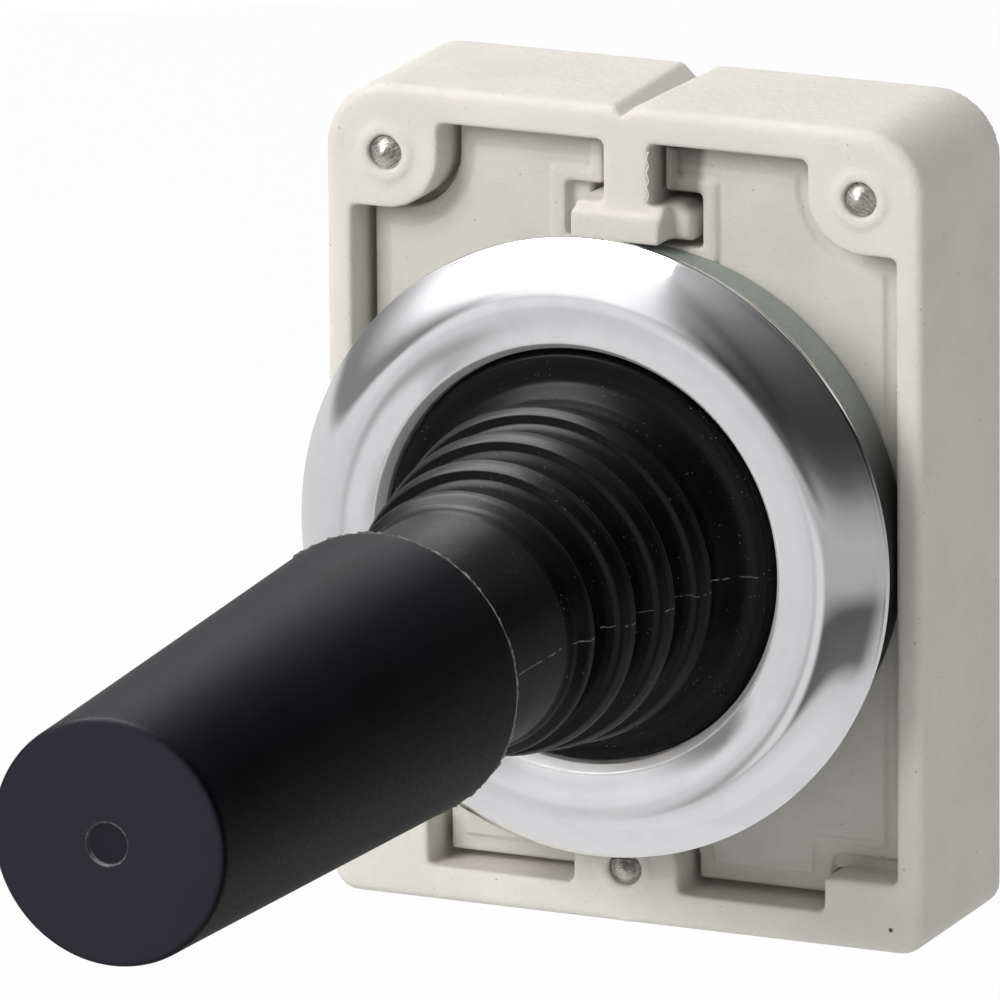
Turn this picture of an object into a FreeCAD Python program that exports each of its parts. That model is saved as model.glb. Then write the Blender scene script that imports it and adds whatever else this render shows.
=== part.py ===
import FreeCAD, Part
import math
import os

# Industrial joystick for a 22 mm panel hole, with the fixing adapter that clamps it from behind.
# Millimetres. X is right, Z is up, and Y runs through the panel from front to back.
# The origin is on the lever's axis, in the plane where the operator meets its adapter.

# Neutral lever and its travel
pivot_y = -2.6
tilt_limit_deg = 15.0

# Operator housing
barrel_r = 11.0
barrel_wall = 1.6
barrel_end_y = 11.5
flange_step = 1.9
flange_thickness = 3.7
lock_groove_depth = 0.7
lock_groove_clearance = 0.15
key_width = 2.4
key_height = 0.75
key_clearance = 0.2

# Seal under the flange
seal_wall = 0.65
seal_front_gap = 0.2
seal_rear_gap = 0.1
seal_bore_clearance = 0.12

# Chromed front ring
ring_overhang = 1.25
ring_width = 4.93
ring_rear_y = -4.95
ring_edge_width = 0.2
ring_crest_inset = 2.65
ring_crest_y = -7.55
ring_aperture_y = -6.36
ring_lip_depth = 0.42
ring_spigot_inset = 1.2
ring_spigot_width = 0.8
ring_spigot_length = 1.3

# Rubber boot
boot_wall = 0.8
boot_flange_clearance = 0.4
boot_flange_width = 3.0
boot_lip_inset = 0.58
boot_lip_y = -6.85
boot_ridge_count = 4
boot_first_ridge_inset = 1.28
boot_last_ridge_rise = 0.68
boot_ridge_curve = 1.18
boot_first_ridge_y = -9.87
boot_ridge_pitch = 3.12
boot_band_width = 1.1
boot_band_drop = 0.27
boot_groove_depth = 1.15
boot_groove_width = 0.45
boot_neck_r = 5.6
boot_neck_taper = 0.15
boot_neck_end_y = -31.2

# Handle and lever
handle_tip_y = -58.09
handle_base_y = -28.93
handle_tip_r = 5.67
handle_wall = 0.79
handle_edge_radius = 1.14
handle_cavity_clearance = 0.3
handle_gate_r = 1.0
handle_gate_depth = 0.15
shaft_r = 2.5
shaft_front_y = -52.0
shaft_fit = 0.04
hub_r = 3.6
hub_half_length = 2.6
collar_step = 0.6
spigot_r = 2.0
tail_pin_r = 0.7
tail_end_y = 7.5

# Gimbal
gimbal_clearance = 1.1
gimbal_wall = 1.9
gimbal_half_thickness = 1.4
pin_r = 1.0
pin_fit = 0.02
pin_running_clearance = 0.1
trunnion_inset = 1.5

# Rocker under the lever, and the circlip that holds it
arm_inset = 2.3
arm_width = 3.0
arm_overhang = 1.0
rocker_drop = 3.6
rocker_thickness = 1.4
pad_r = 1.1
circlip_wall = 1.5
circlip_thickness = 0.5
circlip_gap = 0.05
circlip_groove_depth = 0.4

# Plungers, their springs and the plate that carries them
plunger_gap = 0.1
plunger_head_r = 1.8
plunger_head_thickness = 1.0
plunger_stem_r = 1.0
plunger_end_y = 12.0
plunger_clearance = 0.12
spring_wall = 0.3
spring_end_gap = 0.05
carrier_y = 9.2
carrier_thickness = 1.7
carrier_clearance = 0.05
gate_engagement = 1.3
gate_wall = 0.35
gate_clearance = 0.1

# Adapter frame
adapter_front_y = -1.66
adapter_depth = 9.55
adapter_upper_corner_r = 3.2
adapter_lower_corner_r = 1.3
adapter_front_edge_r = 0.6
seal_side_clearance = 0.17
opening_below_seal = 3.8
side_wall = 1.36
top_wall = 1.64
bottom_wall = 1.74
screw_side_inset = 3.13
screw_top_inset = 3.26
screw_bottom_inset = 2.73
boss_r = 2.65
right_block_height = 1.7
left_block_height = 2.8
block_width = 3.67
notch_front_half_width = 0.45
notch_front_depth = 0.35
notch_rear_half_width = 1.0
notch_rear_depth = 0.9

# Tongue and foot that hang from the adapter's top wall
tongue_length = 2.87
tongue_half_width = 0.93
tongue_root_half_width = 1.2
tongue_rear_y = 1.04
foot_half_width = 1.95
foot_root_half_width = 3.1
foot_height = 1.85
foot_seal_clearance = 0.3
foot_front_rise = 0.3
foot_edge_r = 0.35
foot_rear_y = 2.1

# Ledges inside the frame and rails for contact blocks
ledge_depth = 1.5
ledge_thickness = 1.7
ledge_boss_gap = 1.35
side_ledge_width = 1.6
side_ledge_boss_gap = 2.35
side_ledge_thickness = 1.2
rail_height = 0.7
rail_thickness = 1.1
rail_width = 4.0
rail_gap = 2.0
rail_rear_inset = 1.0

# Inner plate of the adapter
plate_thickness = 2.2
plate_gap = 0.38
plate_bore_clearance = 0.35
plate_border = 0.9
plate_border_step = 0.15
rim_width = 0.65
rim_height = 0.2
slot_clearance = 0.35
finger_recess_width = 3.2
finger_recess_height = 1.0
finger_recess_depth = 0.15
seat_gap = 0.05

# Lock plate that bites into the barrel's groove
lock_thickness = 0.9
lock_band = 1.85
lock_side_clearance = 0.27
lock_play = 0.15
lock_corner_r = 1.5
lock_tab_half_width = 4.0
lock_tab_length = 3.4

# Clamp screws with pointed tips
screw_tip_r = 0.8
screw_body_step = 0.45
screw_head_step = 0.75
screw_head_thickness = 1.2
screw_tip_recess = 0.2
screw_tip_length = 4.6
screw_body_length = 3.4
screw_cone_height = 0.7
screw_clearance = 0.12
screw_travel = 1.5
screw_slot_width = 0.5
screw_slot_depth = 0.6
screw_mouth_step = 0.35
screw_mouth_depth = 0.15

# The operator's radii, outwards and inwards from the barrel
barrel_bore_r = barrel_r - barrel_wall
flange_r = barrel_r + flange_step
seal_r = flange_r + seat_gap + seal_wall
ring_outer_r = seal_r + ring_overhang
ring_crest_r = ring_outer_r - ring_crest_inset
ring_aperture_r = ring_outer_r - ring_width
ring_spigot_inner_r = flange_r - ring_spigot_inset
boot_flange_r = ring_spigot_inner_r - boot_flange_clearance
boot_flange_inner_r = boot_flange_r - boot_flange_width
boot_lip_r = ring_aperture_r - boot_lip_inset
trunnion_end = flange_r - trunnion_inset
arm_radius = barrel_bore_r - arm_inset

# The adapter's outline, outwards from the seal that stands in its opening
opening_half_width = seal_r + seal_side_clearance
half_width = opening_half_width + side_wall
foot_bottom_z = seal_r + foot_seal_clearance
foot_top_z = foot_bottom_z + foot_height
opening_top_z = foot_top_z + tongue_length
adapter_top_z = opening_top_z + top_wall
opening_bottom_z = -seal_r - opening_below_seal
adapter_bottom_z = opening_bottom_z - bottom_wall
adapter_rear_y = adapter_front_y + adapter_depth
screw_x = half_width - screw_side_inset
screw_z = adapter_top_z - screw_top_inset
lower_screw_z = adapter_bottom_z + screw_bottom_inset
right_block_top_z = opening_bottom_z + right_block_height
left_block_top_z = opening_bottom_z + left_block_height
block_inner_x = opening_half_width - block_width

# Radii round the lever
collar_r = hub_r - collar_step
gimbal_inner_r = hub_r + gimbal_clearance
gimbal_outer_r = gimbal_inner_r + gimbal_wall
handle_cavity_r = boot_neck_r + handle_cavity_clearance
handle_base_r = handle_cavity_r + handle_wall

# Places along the lever and behind the plate
rocker_front_y = pivot_y + rocker_drop
rocker_rear_y = rocker_front_y + rocker_thickness
plunger_head_y = rocker_rear_y + pad_r + plunger_gap
plunger_head_rear_y = plunger_head_y + plunger_head_thickness
plate_rear_y = plate_thickness
lock_front_y = plate_rear_y + lock_play
lock_rear_y = lock_front_y + lock_thickness
lock_half_height = barrel_r + plate_bore_clearance + lock_band
screw_body_r = screw_tip_r + screw_body_step
screw_head_r = screw_body_r + screw_head_step
screw_mouth_r = screw_tip_r + screw_mouth_step
tilt_limit = math.radians(tilt_limit_deg)

x_axis = FreeCAD.Vector(1, 0, 0)
y_axis = FreeCAD.Vector(0, 1, 0)
z_axis = FreeCAD.Vector(0, 0, 1)
origin = FreeCAD.Vector(0, 0, 0)
directions = {"right": (1, 0), "left": (-1, 0), "up": (0, 1), "down": (0, -1)}
screw_places = {
    "left": (-screw_x, screw_z),
    "right": (screw_x, screw_z),
    "bottom": (0, lower_screw_z),
}


def save(node, shape):
    shape.exportStep(f"parts/{node}.step")


def rod(radius, y_front, y_rear, x=0.0, z=0.0):
    return Part.makeCylinder(radius, y_rear - y_front, FreeCAD.Vector(x, y_front, z), y_axis)


def block(x_low, x_high, y_low, y_high, z_low, z_high):
    corner = FreeCAD.Vector(x_low, y_low, z_low)
    return Part.makeBox(x_high - x_low, y_high - y_low, z_high - z_low, corner)


# A closed chain of straight edges, with an arc wherever three points stand together in a tuple
def turned(*stretches):
    edges = []
    first = last = None
    for stretch in stretches:
        points = [FreeCAD.Vector(radius, y, 0) for radius, y in stretch]
        if last is not None and (last - points[0]).Length > 1e-7:
            edges.append(Part.makeLine(last, points[0]))
        if len(points) == 3:
            edges.append(Part.Arc(*points).toShape())
        elif len(points) == 2:
            edges.append(Part.makeLine(*points))
        first = first or points[0]
        last = points[-1]
    if (last - first).Length > 1e-7:
        edges.append(Part.makeLine(last, first))
    return Part.Face(Part.Wire(edges)).revolve(origin, y_axis, 360)


def corners(*points):
    return [(point,) for point in points]


# A prism along Y whose outline is a rectangle with one radius for the upper corners and one for the lower
def rounded_prism(x_half, z_low, z_high, y_front, y_rear, upper_r, lower_r):
    prism = block(-x_half, x_half, y_front, y_rear, z_low, z_high)
    for radius, z in ((upper_r, z_high), (lower_r, z_low)):
        edges = [
            edge
            for edge in prism.Edges
            if abs(edge.CenterOfMass.z - z) < 0.01
            and abs(abs(edge.CenterOfMass.x) - x_half) < 0.01
        ]
        prism = prism.makeFillet(radius, edges)
    return prism


def at_height(shape, axis, value):
    return [
        edge
        for edge in shape.Edges
        if all(abs(getattr(vertex.Point, axis) - value) < 1e-4 for vertex in edge.Vertexes)
        and abs(getattr(edge.CenterOfMass, axis) - value) < 1e-4
    ]


# Front ring: a domed bezel with a sharp rear edge, a short lip round its aperture and a spigot
def front_ring():
    edge_y = ring_rear_y - ring_edge_width
    lip_y = ring_aperture_y + ring_lip_depth
    recess_r = boot_flange_r + seat_gap
    dome = ((ring_outer_r, edge_y), (ring_crest_r, ring_crest_y), (ring_aperture_r, ring_aperture_y))
    ring = turned(
        ((ring_outer_r, ring_rear_y), (ring_outer_r, edge_y)),
        dome,
        *corners((ring_aperture_r, lip_y), (recess_r, lip_y), (recess_r, ring_rear_y)),
    )
    spigot_outer_r = ring_spigot_inner_r + ring_spigot_width
    spigot_rear_y = ring_rear_y + ring_spigot_length
    spigot = turned(
        *corners(
            (ring_spigot_inner_r, ring_rear_y),
            (spigot_outer_r, ring_rear_y),
            (spigot_outer_r, spigot_rear_y),
            (ring_spigot_inner_r, spigot_rear_y),
        )
    )
    return ring.fuse(spigot).removeSplitter()


# Housing: the flange behind the ring and the barrel that goes through the panel hole
def housing():
    flange_rear_y = ring_rear_y + flange_thickness
    body = turned(
        *corners(
            (barrel_bore_r, ring_rear_y),
            (flange_r, ring_rear_y),
            (flange_r, flange_rear_y),
            (barrel_r, flange_rear_y),
            (barrel_r, barrel_end_y),
            (barrel_bore_r, barrel_end_y),
        )
    )
    spigot_groove = rod(
        ring_spigot_inner_r + ring_spigot_width + seat_gap,
        ring_rear_y,
        ring_rear_y + ring_spigot_length + seat_gap,
    ).cut(rod(ring_spigot_inner_r - seat_gap, ring_rear_y, 0))
    groove_front_y = lock_front_y - lock_groove_clearance
    groove_rear_y = lock_rear_y + lock_groove_clearance
    lock_groove = rod(barrel_r + 1, groove_front_y, groove_rear_y).cut(
        rod(barrel_r - lock_groove_depth, groove_front_y, groove_rear_y)
    )
    slot_half_width = key_width / 2 + key_clearance
    key_slot = block(
        -slot_half_width,
        slot_half_width,
        -seal_rear_gap,
        barrel_end_y,
        barrel_r - key_height - key_clearance,
        barrel_r + 1,
    )
    bearing_end = trunnion_end + pin_running_clearance
    bearing = Part.makeCylinder(
        pin_r + pin_running_clearance,
        2 * bearing_end,
        FreeCAD.Vector(-bearing_end, pivot_y, 0),
        x_axis,
    )
    return body.cut([spigot_groove, lock_groove, key_slot, bearing])


# Seal: a sleeve round the flange with a washer under it
def seal_ring():
    washer_front_y = ring_rear_y + flange_thickness + seat_gap
    sleeve_r = flange_r + seat_gap
    return turned(
        *corners(
            (barrel_r + seal_bore_clearance, washer_front_y),
            (sleeve_r, washer_front_y),
            (sleeve_r, ring_rear_y + seal_front_gap),
            (seal_r, ring_rear_y + seal_front_gap),
            (seal_r, -seal_rear_gap),
            (barrel_r + seal_bore_clearance, -seal_rear_gap),
        )
    )


# Boot: a clamped flange, a rolled lip, four stepped ridges with deep grooves behind them, and a neck
def boot():
    flange_front_y = ring_aperture_y + ring_lip_depth + seat_gap
    flange_rear_y = ring_rear_y - seat_gap
    rise_r = ring_aperture_r - handle_cavity_clearance / 2
    lip_inner_r = boot_lip_r - boot_wall / 2
    first_ridge_r = boot_lip_r - boot_first_ridge_inset
    last_ridge_r = boot_neck_r + boot_last_ridge_rise
    ridges = []
    for i in range(boot_ridge_count):
        share = (i / (boot_ridge_count - 1)) ** boot_ridge_curve
        radius = first_ridge_r + (last_ridge_r - first_ridge_r) * share
        ridges.append((radius, boot_first_ridge_y - boot_ridge_pitch * i))
    grooves = [(radius - boot_groove_depth, y + boot_groove_width) for radius, y in ridges]
    outer = [
        (boot_flange_r, flange_rear_y),
        (boot_flange_r, flange_front_y),
        (rise_r, flange_front_y),
        (rise_r, boot_lip_y + boot_wall / 2),
        (boot_lip_r, boot_lip_y),
        (lip_inner_r, boot_lip_y + boot_wall / 3),
    ]
    for (radius, y), (groove_r, groove_y) in zip(ridges, grooves):
        outer.append((groove_r, groove_y + boot_groove_width))
        outer.append((groove_r, groove_y))
        outer.append((radius, y))
        outer.append((radius - boot_band_drop, y - boot_band_width))
    neck_end_r = boot_neck_r - boot_neck_taper
    outer.append((boot_neck_r, ridges[-1][1] - boot_band_width - boot_wall / 2))
    outer.append((neck_end_r, boot_neck_end_y))
    first_groove_r, first_groove_y = grooves[0]
    last_groove_r, last_groove_y = grooves[-1]
    bore_r = last_groove_r - boot_wall
    grip_r = shaft_r + seat_gap
    inner = [
        (grip_r, boot_neck_end_y),
        (grip_r, handle_base_y + boot_wall),
        (bore_r, handle_base_y + 2 * boot_wall),
        (bore_r, last_groove_y),
        (first_groove_r - boot_wall, first_groove_y + boot_groove_width),
        (boot_flange_inner_r, flange_front_y),
        (boot_flange_inner_r, flange_rear_y),
    ]
    return turned(*corners(*outer, *inner))


# Handle: a tapered grip with a rounded tip, hollow at its base for the boot's neck
def handle():
    cavity_y = boot_neck_end_y - handle_cavity_clearance
    bore_r = shaft_r + shaft_fit
    edge = handle_edge_radius
    tip_flat_r = handle_tip_r - edge
    edge_r = tip_flat_r + edge * math.sin(math.pi / 4)
    edge_y = handle_tip_y + edge - edge * math.cos(math.pi / 4)
    grip = turned(
        *corners((handle_cavity_r, handle_base_y), (handle_base_r, handle_base_y)),
        ((handle_tip_r, handle_tip_y + edge), (edge_r, edge_y), (tip_flat_r, handle_tip_y)),
        *corners(
            (0, handle_tip_y),
            (0, shaft_front_y - seat_gap),
            (bore_r, shaft_front_y - seat_gap),
            (bore_r, cavity_y),
            (handle_cavity_r, cavity_y),
        ),
    )
    return grip.cut(rod(handle_gate_r, handle_tip_y, handle_tip_y + handle_gate_depth))


# Lever shaft: grip rod, hub bored for the cross pin, seat of the rocker, circlip groove and tail pin
def lever_shaft():
    groove_r = spigot_r - circlip_groove_depth
    groove_front_y = rocker_rear_y
    groove_rear_y = groove_front_y + circlip_thickness + 2 * circlip_gap
    shaft = turned(
        *corners(
            (0, shaft_front_y),
            (shaft_r, shaft_front_y),
            (shaft_r, pivot_y - hub_half_length),
            (hub_r, pivot_y - hub_half_length),
            (hub_r, pivot_y + hub_half_length),
            (collar_r, pivot_y + hub_half_length),
            (collar_r, rocker_front_y),
            (spigot_r, rocker_front_y),
            (spigot_r, groove_front_y),
            (groove_r, groove_front_y),
            (groove_r, groove_rear_y),
            (spigot_r, groove_rear_y),
            (spigot_r, groove_rear_y + pad_r),
            (tail_pin_r, groove_rear_y + pad_r),
            (tail_pin_r, tail_end_y),
            (0, tail_end_y),
        )
    )
    pin_hole = Part.makeCylinder(
        pin_r + pin_fit, 2 * hub_r, FreeCAD.Vector(0, pivot_y, -hub_r), z_axis
    )
    return shaft.cut(pin_hole)


def cross_pin():
    length = 2 * gimbal_outer_r - pin_running_clearance
    return Part.makeCylinder(pin_r, length, FreeCAD.Vector(0, pivot_y, -length / 2), z_axis)


# Gimbal ring: carried by two pins along X, and carrying the lever's cross pin along Z
def gimbal_ring():
    front_y = pivot_y - gimbal_half_thickness
    rear_y = pivot_y + gimbal_half_thickness
    ring = rod(gimbal_outer_r, front_y, rear_y).cut(rod(gimbal_inner_r, front_y, rear_y))
    carried = Part.makeCylinder(
        pin_r + pin_fit,
        2 * gimbal_outer_r,
        FreeCAD.Vector(-gimbal_outer_r, pivot_y, 0),
        x_axis,
    )
    carrying = Part.makeCylinder(
        pin_r + pin_running_clearance,
        2 * gimbal_outer_r,
        FreeCAD.Vector(0, pivot_y, -gimbal_outer_r),
        z_axis,
    )
    return ring.cut([carried, carrying])


def trunnion_pin(side):
    start = FreeCAD.Vector(side * gimbal_inner_r, pivot_y, 0)
    return Part.makeCylinder(pin_r, trunnion_end - gimbal_inner_r, start, x_axis * side)


# Rocker: a cross of four arms, each ending in a domed pad over its plunger
def rocker():
    reach = arm_radius + arm_overhang
    half = arm_width / 2
    arms = [
        block(-reach, reach, rocker_front_y, rocker_rear_y, -half, half),
        block(-half, half, rocker_front_y, rocker_rear_y, -reach, reach),
        rod(collar_r + arm_overhang, rocker_front_y, rocker_rear_y),
    ]
    pads = [
        Part.makeSphere(
            pad_r, FreeCAD.Vector(x * arm_radius, rocker_rear_y, z * arm_radius), y_axis, 0, 90, 360
        )
        for x, z in directions.values()
    ]
    cross = arms[0].fuse(arms[1:] + pads).removeSplitter()
    return cross.cut(rod(spigot_r + pin_fit, rocker_front_y, rocker_rear_y))


# Circlip: an open ring snapped into the shaft's groove
def rocker_circlip():
    front_y = rocker_rear_y + circlip_gap
    rear_y = front_y + circlip_thickness
    groove_r = spigot_r - circlip_groove_depth
    circlip_r = groove_r + circlip_wall
    clip = rod(circlip_r, front_y, rear_y).cut(rod(groove_r + pin_fit, front_y, rear_y))
    return clip.cut(block(-groove_r, groove_r, front_y, rear_y, -circlip_r, 0))


# Plunger: a flat head under the rocker's pad and a stem that reaches out of the back
def plunger(x, z):
    head = rod(plunger_head_r, plunger_head_y, plunger_head_rear_y, x, z)
    stem = rod(plunger_stem_r, plunger_head_rear_y, plunger_end_y, x, z)
    return head.fuse(stem).removeSplitter()


def return_spring(x, z):
    inner_r = plunger_stem_r + plunger_clearance
    front_y = plunger_head_rear_y + spring_end_gap
    rear_y = carrier_y - spring_end_gap
    outer = rod(inner_r + spring_wall, front_y, rear_y, x, z)
    return outer.cut(rod(inner_r, front_y, rear_y, x, z))


# Carrier: the rear plate that guides the plungers, with a square gate that stops the lever's tail
def plunger_carrier():
    rear_y = carrier_y + carrier_thickness
    plate = rod(barrel_bore_r - carrier_clearance, carrier_y, rear_y)
    reach = (tail_end_y - pivot_y) * math.sin(tilt_limit) + tail_pin_r * math.cos(tilt_limit)
    gate_half = reach + gate_clearance
    wall_half = gate_half + gate_wall
    gate_y = tail_end_y - gate_engagement
    gate = block(-wall_half, wall_half, gate_y, carrier_y, -wall_half, wall_half)
    gate = gate.cut(block(-gate_half, gate_half, gate_y, carrier_y, -gate_half, gate_half))
    guides = [
        rod(plunger_stem_r + plunger_clearance, carrier_y, rear_y, x * arm_radius, z * arm_radius)
        for x, z in directions.values()
    ]
    return plate.fuse(gate).removeSplitter().cut(guides)


# What stands in the frame's opening, each grown by a gap: screw bosses, corner blocks, tongue and foot
def corner_boss(side, grow, y_front, y_rear):
    x = side * screw_x
    radius = boss_r + grow
    upright = block(-radius, radius, y_front, y_rear, 0, radius + screw_z)
    upright.translate(FreeCAD.Vector(x, 0, screw_z))
    sideways = block(0, half_width, y_front, y_rear, -radius, adapter_top_z)
    if side < 0:
        sideways = sideways.mirror(origin, x_axis)
    sideways.translate(FreeCAD.Vector(x, 0, screw_z))
    quarter_fill = upright.common(sideways)
    return rod(radius, y_front, y_rear, x, screw_z).fuse(quarter_fill)


def lower_boss(grow, y_front, y_rear):
    radius = boss_r + grow
    foot = block(-radius, radius, y_front, y_rear, adapter_bottom_z, lower_screw_z)
    return rod(radius, y_front, y_rear, 0, lower_screw_z).fuse(foot)


def lower_block(side, grow, y_front, y_rear):
    top = right_block_top_z if side > 0 else left_block_top_z
    inner, outer = sorted((side * (block_inner_x - grow), side * half_width))
    return block(inner, outer, y_front, y_rear, adapter_bottom_z, top + grow)


# A bar along Z whose cross section widens from front to back
def drafted_bar(front_half, root_half, y_front, y_rear, z_low, z_high):
    points = [
        FreeCAD.Vector(-front_half, y_front, z_low),
        FreeCAD.Vector(front_half, y_front, z_low),
        FreeCAD.Vector(root_half, y_rear, z_low),
        FreeCAD.Vector(-root_half, y_rear, z_low),
    ]
    face = Part.Face(Part.makePolygon(points + points[:1]))
    return face.extrude(FreeCAD.Vector(0, 0, z_high - z_low))


def tongue():
    bar = drafted_bar(
        tongue_half_width,
        tongue_root_half_width,
        adapter_front_y,
        tongue_rear_y,
        foot_bottom_z + foot_edge_r,
        opening_top_z + seat_gap,
    )
    foot_front_y = adapter_front_y - foot_front_rise
    foot = drafted_bar(
        foot_half_width,
        foot_root_half_width,
        foot_front_y,
        foot_rear_y,
        foot_bottom_z,
        foot_top_z,
    )
    foot = foot.makeFillet(foot_edge_r, at_height(foot, "y", foot_front_y))
    return bar.fuse(foot)


# Notch: a V groove across the top wall that widens and deepens towards the rear
def top_notch():
    def section(half, depth, y):
        rise = half / depth
        points = [
            FreeCAD.Vector(0, y, adapter_top_z - depth),
            FreeCAD.Vector(half + rise, y, adapter_top_z + 1),
            FreeCAD.Vector(-half - rise, y, adapter_top_z + 1),
        ]
        return Part.makePolygon(points + points[:1])

    front = section(notch_front_half_width, notch_front_depth, adapter_front_y)
    rear = section(notch_rear_half_width, notch_rear_depth, adapter_rear_y)
    return Part.makeLoft([front, rear], True)


def screw_bore(x, z):
    shoulder_y = adapter_front_y + screw_tip_recess + screw_tip_length - screw_travel
    head_y = shoulder_y + screw_body_length
    return [
        rod(screw_mouth_r, adapter_front_y, adapter_front_y + screw_mouth_depth, x, z),
        rod(screw_tip_r + screw_clearance, adapter_front_y, shoulder_y, x, z),
        rod(screw_body_r + screw_clearance, shoulder_y - screw_clearance, head_y, x, z),
        rod(screw_head_r + screw_clearance, head_y - screw_clearance, adapter_rear_y, x, z),
    ]


# Adapter frame: one casting with walls, bosses, blocks, tongue, ledges and rails
def adapter_frame():
    outer = rounded_prism(
        half_width,
        adapter_bottom_z,
        adapter_top_z,
        adapter_front_y,
        adapter_rear_y,
        adapter_upper_corner_r,
        adapter_lower_corner_r,
    )
    outer = outer.makeFillet(adapter_front_edge_r, at_height(outer, "y", adapter_front_y))
    opening = block(
        -opening_half_width,
        opening_half_width,
        adapter_front_y,
        adapter_rear_y,
        opening_bottom_z,
        opening_top_z,
    )
    inside = [
        corner_boss(-1, 0, adapter_front_y, adapter_rear_y),
        corner_boss(1, 0, adapter_front_y, adapter_rear_y),
        lower_boss(0, adapter_front_y, adapter_rear_y),
        lower_block(-1, 0, adapter_front_y, adapter_rear_y),
        lower_block(1, 0, adapter_front_y, adapter_rear_y),
    ]
    for solid in inside:
        opening = opening.cut(solid)
    frame = outer.cut(opening)

    ledge_half_width = screw_x - boss_r - ledge_boss_gap
    side_ledge_half_height = screw_z - boss_r - side_ledge_boss_gap
    ledge_front_y = plate_rear_y + seat_gap
    ledge_rear_y = ledge_front_y + ledge_thickness
    side_front_y = lock_rear_y + lock_play
    side_rear_y = side_front_y + side_ledge_thickness
    additions = [
        tongue(),
        block(
            -ledge_half_width,
            ledge_half_width,
            ledge_front_y,
            ledge_rear_y,
            opening_top_z - ledge_depth,
            opening_top_z + seat_gap,
        ),
    ]
    for side in (-1, 1):
        inner, outer_x = sorted((side * boss_r, side * block_inner_x))
        additions.append(
            block(
                inner,
                outer_x,
                ledge_front_y,
                ledge_rear_y,
                opening_bottom_z - seat_gap,
                opening_bottom_z + ledge_depth,
            )
        )
        inner, outer_x = sorted(
            (side * (opening_half_width - side_ledge_width), side * (opening_half_width + seat_gap))
        )
        additions.append(
            block(
                inner,
                outer_x,
                side_front_y,
                side_rear_y,
                -side_ledge_half_height,
                side_ledge_half_height,
            )
        )
    rail_rear_y = adapter_rear_y - rail_rear_inset
    rail_front_y = rail_rear_y - rail_thickness
    for place in (-1, 0, 1):
        x = place * (rail_width + rail_gap)
        additions.append(
            block(
                x - rail_width / 2,
                x + rail_width / 2,
                rail_front_y,
                rail_rear_y,
                opening_top_z - rail_height,
                opening_top_z + seat_gap,
            )
        )
        if place:
            additions.append(
                block(
                    x - rail_width / 2,
                    x + rail_width / 2,
                    rail_front_y,
                    rail_rear_y,
                    opening_bottom_z - seat_gap,
                    opening_bottom_z + rail_height,
                )
            )
    frame = frame.fuse(additions).removeSplitter()
    cuts = [top_notch()]
    for x, z in screw_places.values():
        cuts += screw_bore(x, z)
    return frame.cut(cuts)


# The inner plate's outline, which keeps one gap to everything that stands in the opening
def plate_slab(gap, y_front, y_rear):
    slab = block(
        gap - opening_half_width,
        opening_half_width - gap,
        y_front,
        y_rear,
        opening_bottom_z + gap,
        opening_top_z - gap,
    )
    slot_half = tongue_root_half_width + gap
    foot_half = foot_root_half_width + gap
    for solid in (
        corner_boss(-1, gap, y_front, y_rear),
        corner_boss(1, gap, y_front, y_rear),
        lower_boss(gap, y_front, y_rear),
        lower_block(-1, gap, y_front, y_rear),
        lower_block(1, gap, y_front, y_rear),
        block(-slot_half, slot_half, y_front, y_rear, foot_top_z, adapter_top_z),
        block(-foot_half, foot_half, y_front, y_rear, foot_bottom_z - gap, foot_top_z + gap),
    ):
        slab = slab.cut(solid)
    return slab


# Inner plate: raised centre inside a stepped border, a rim round the foot, the bore and its key
def adapter_plate():
    base = plate_slab(plate_gap, plate_border_step, plate_thickness)
    centre = plate_slab(plate_gap + plate_border, 0, plate_border_step)
    rim_outer = plate_gap + rim_width
    rim_slot = tongue_root_half_width + rim_outer
    rim_foot = foot_root_half_width + rim_outer
    rim_y = (-rim_height, plate_thickness)
    rim = block(-rim_slot, rim_slot, *rim_y, foot_top_z, opening_top_z - plate_gap)
    rim = rim.fuse(
        block(-rim_foot, rim_foot, *rim_y, foot_bottom_z - rim_outer, foot_top_z + rim_outer)
    )
    rim = rim.common(plate_slab(plate_gap, -rim_height, plate_thickness))
    bore_r = barrel_r + plate_bore_clearance
    seal_room = rod(seal_r + slot_clearance, -rim_height, 0)
    recess = block(
        opening_half_width - plate_gap - plate_border - finger_recess_width,
        opening_half_width - plate_gap - plate_border,
        0,
        finger_recess_depth,
        right_block_top_z + plate_gap + plate_border / 2,
        right_block_top_z + plate_gap + plate_border / 2 + finger_recess_height,
    )
    plate = base.fuse([centre, rim]).removeSplitter()
    plate = plate.cut([rod(bore_r, -rim_height, plate_thickness), seal_room, recess])
    key = block(
        -key_width / 2,
        key_width / 2,
        0,
        plate_thickness,
        barrel_r - key_height,
        bore_r + plate_gap,
    )
    return plate.fuse(key).removeSplitter()


# Lock plate: free round the barrel at rest, and in its groove when it is pushed up
def lock_plate():
    half = opening_half_width - lock_side_clearance
    plate = rounded_prism(
        half,
        -lock_half_height,
        lock_half_height,
        lock_front_y,
        lock_rear_y,
        lock_corner_r,
        lock_corner_r,
    )
    tab = block(
        -lock_tab_half_width,
        lock_tab_half_width,
        lock_front_y,
        lock_rear_y + lock_tab_length,
        -lock_half_height,
        -lock_half_height + lock_thickness,
    )
    return plate.cut(rod(barrel_r + plate_bore_clearance, lock_front_y, lock_rear_y)).fuse(tab).removeSplitter()


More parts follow.
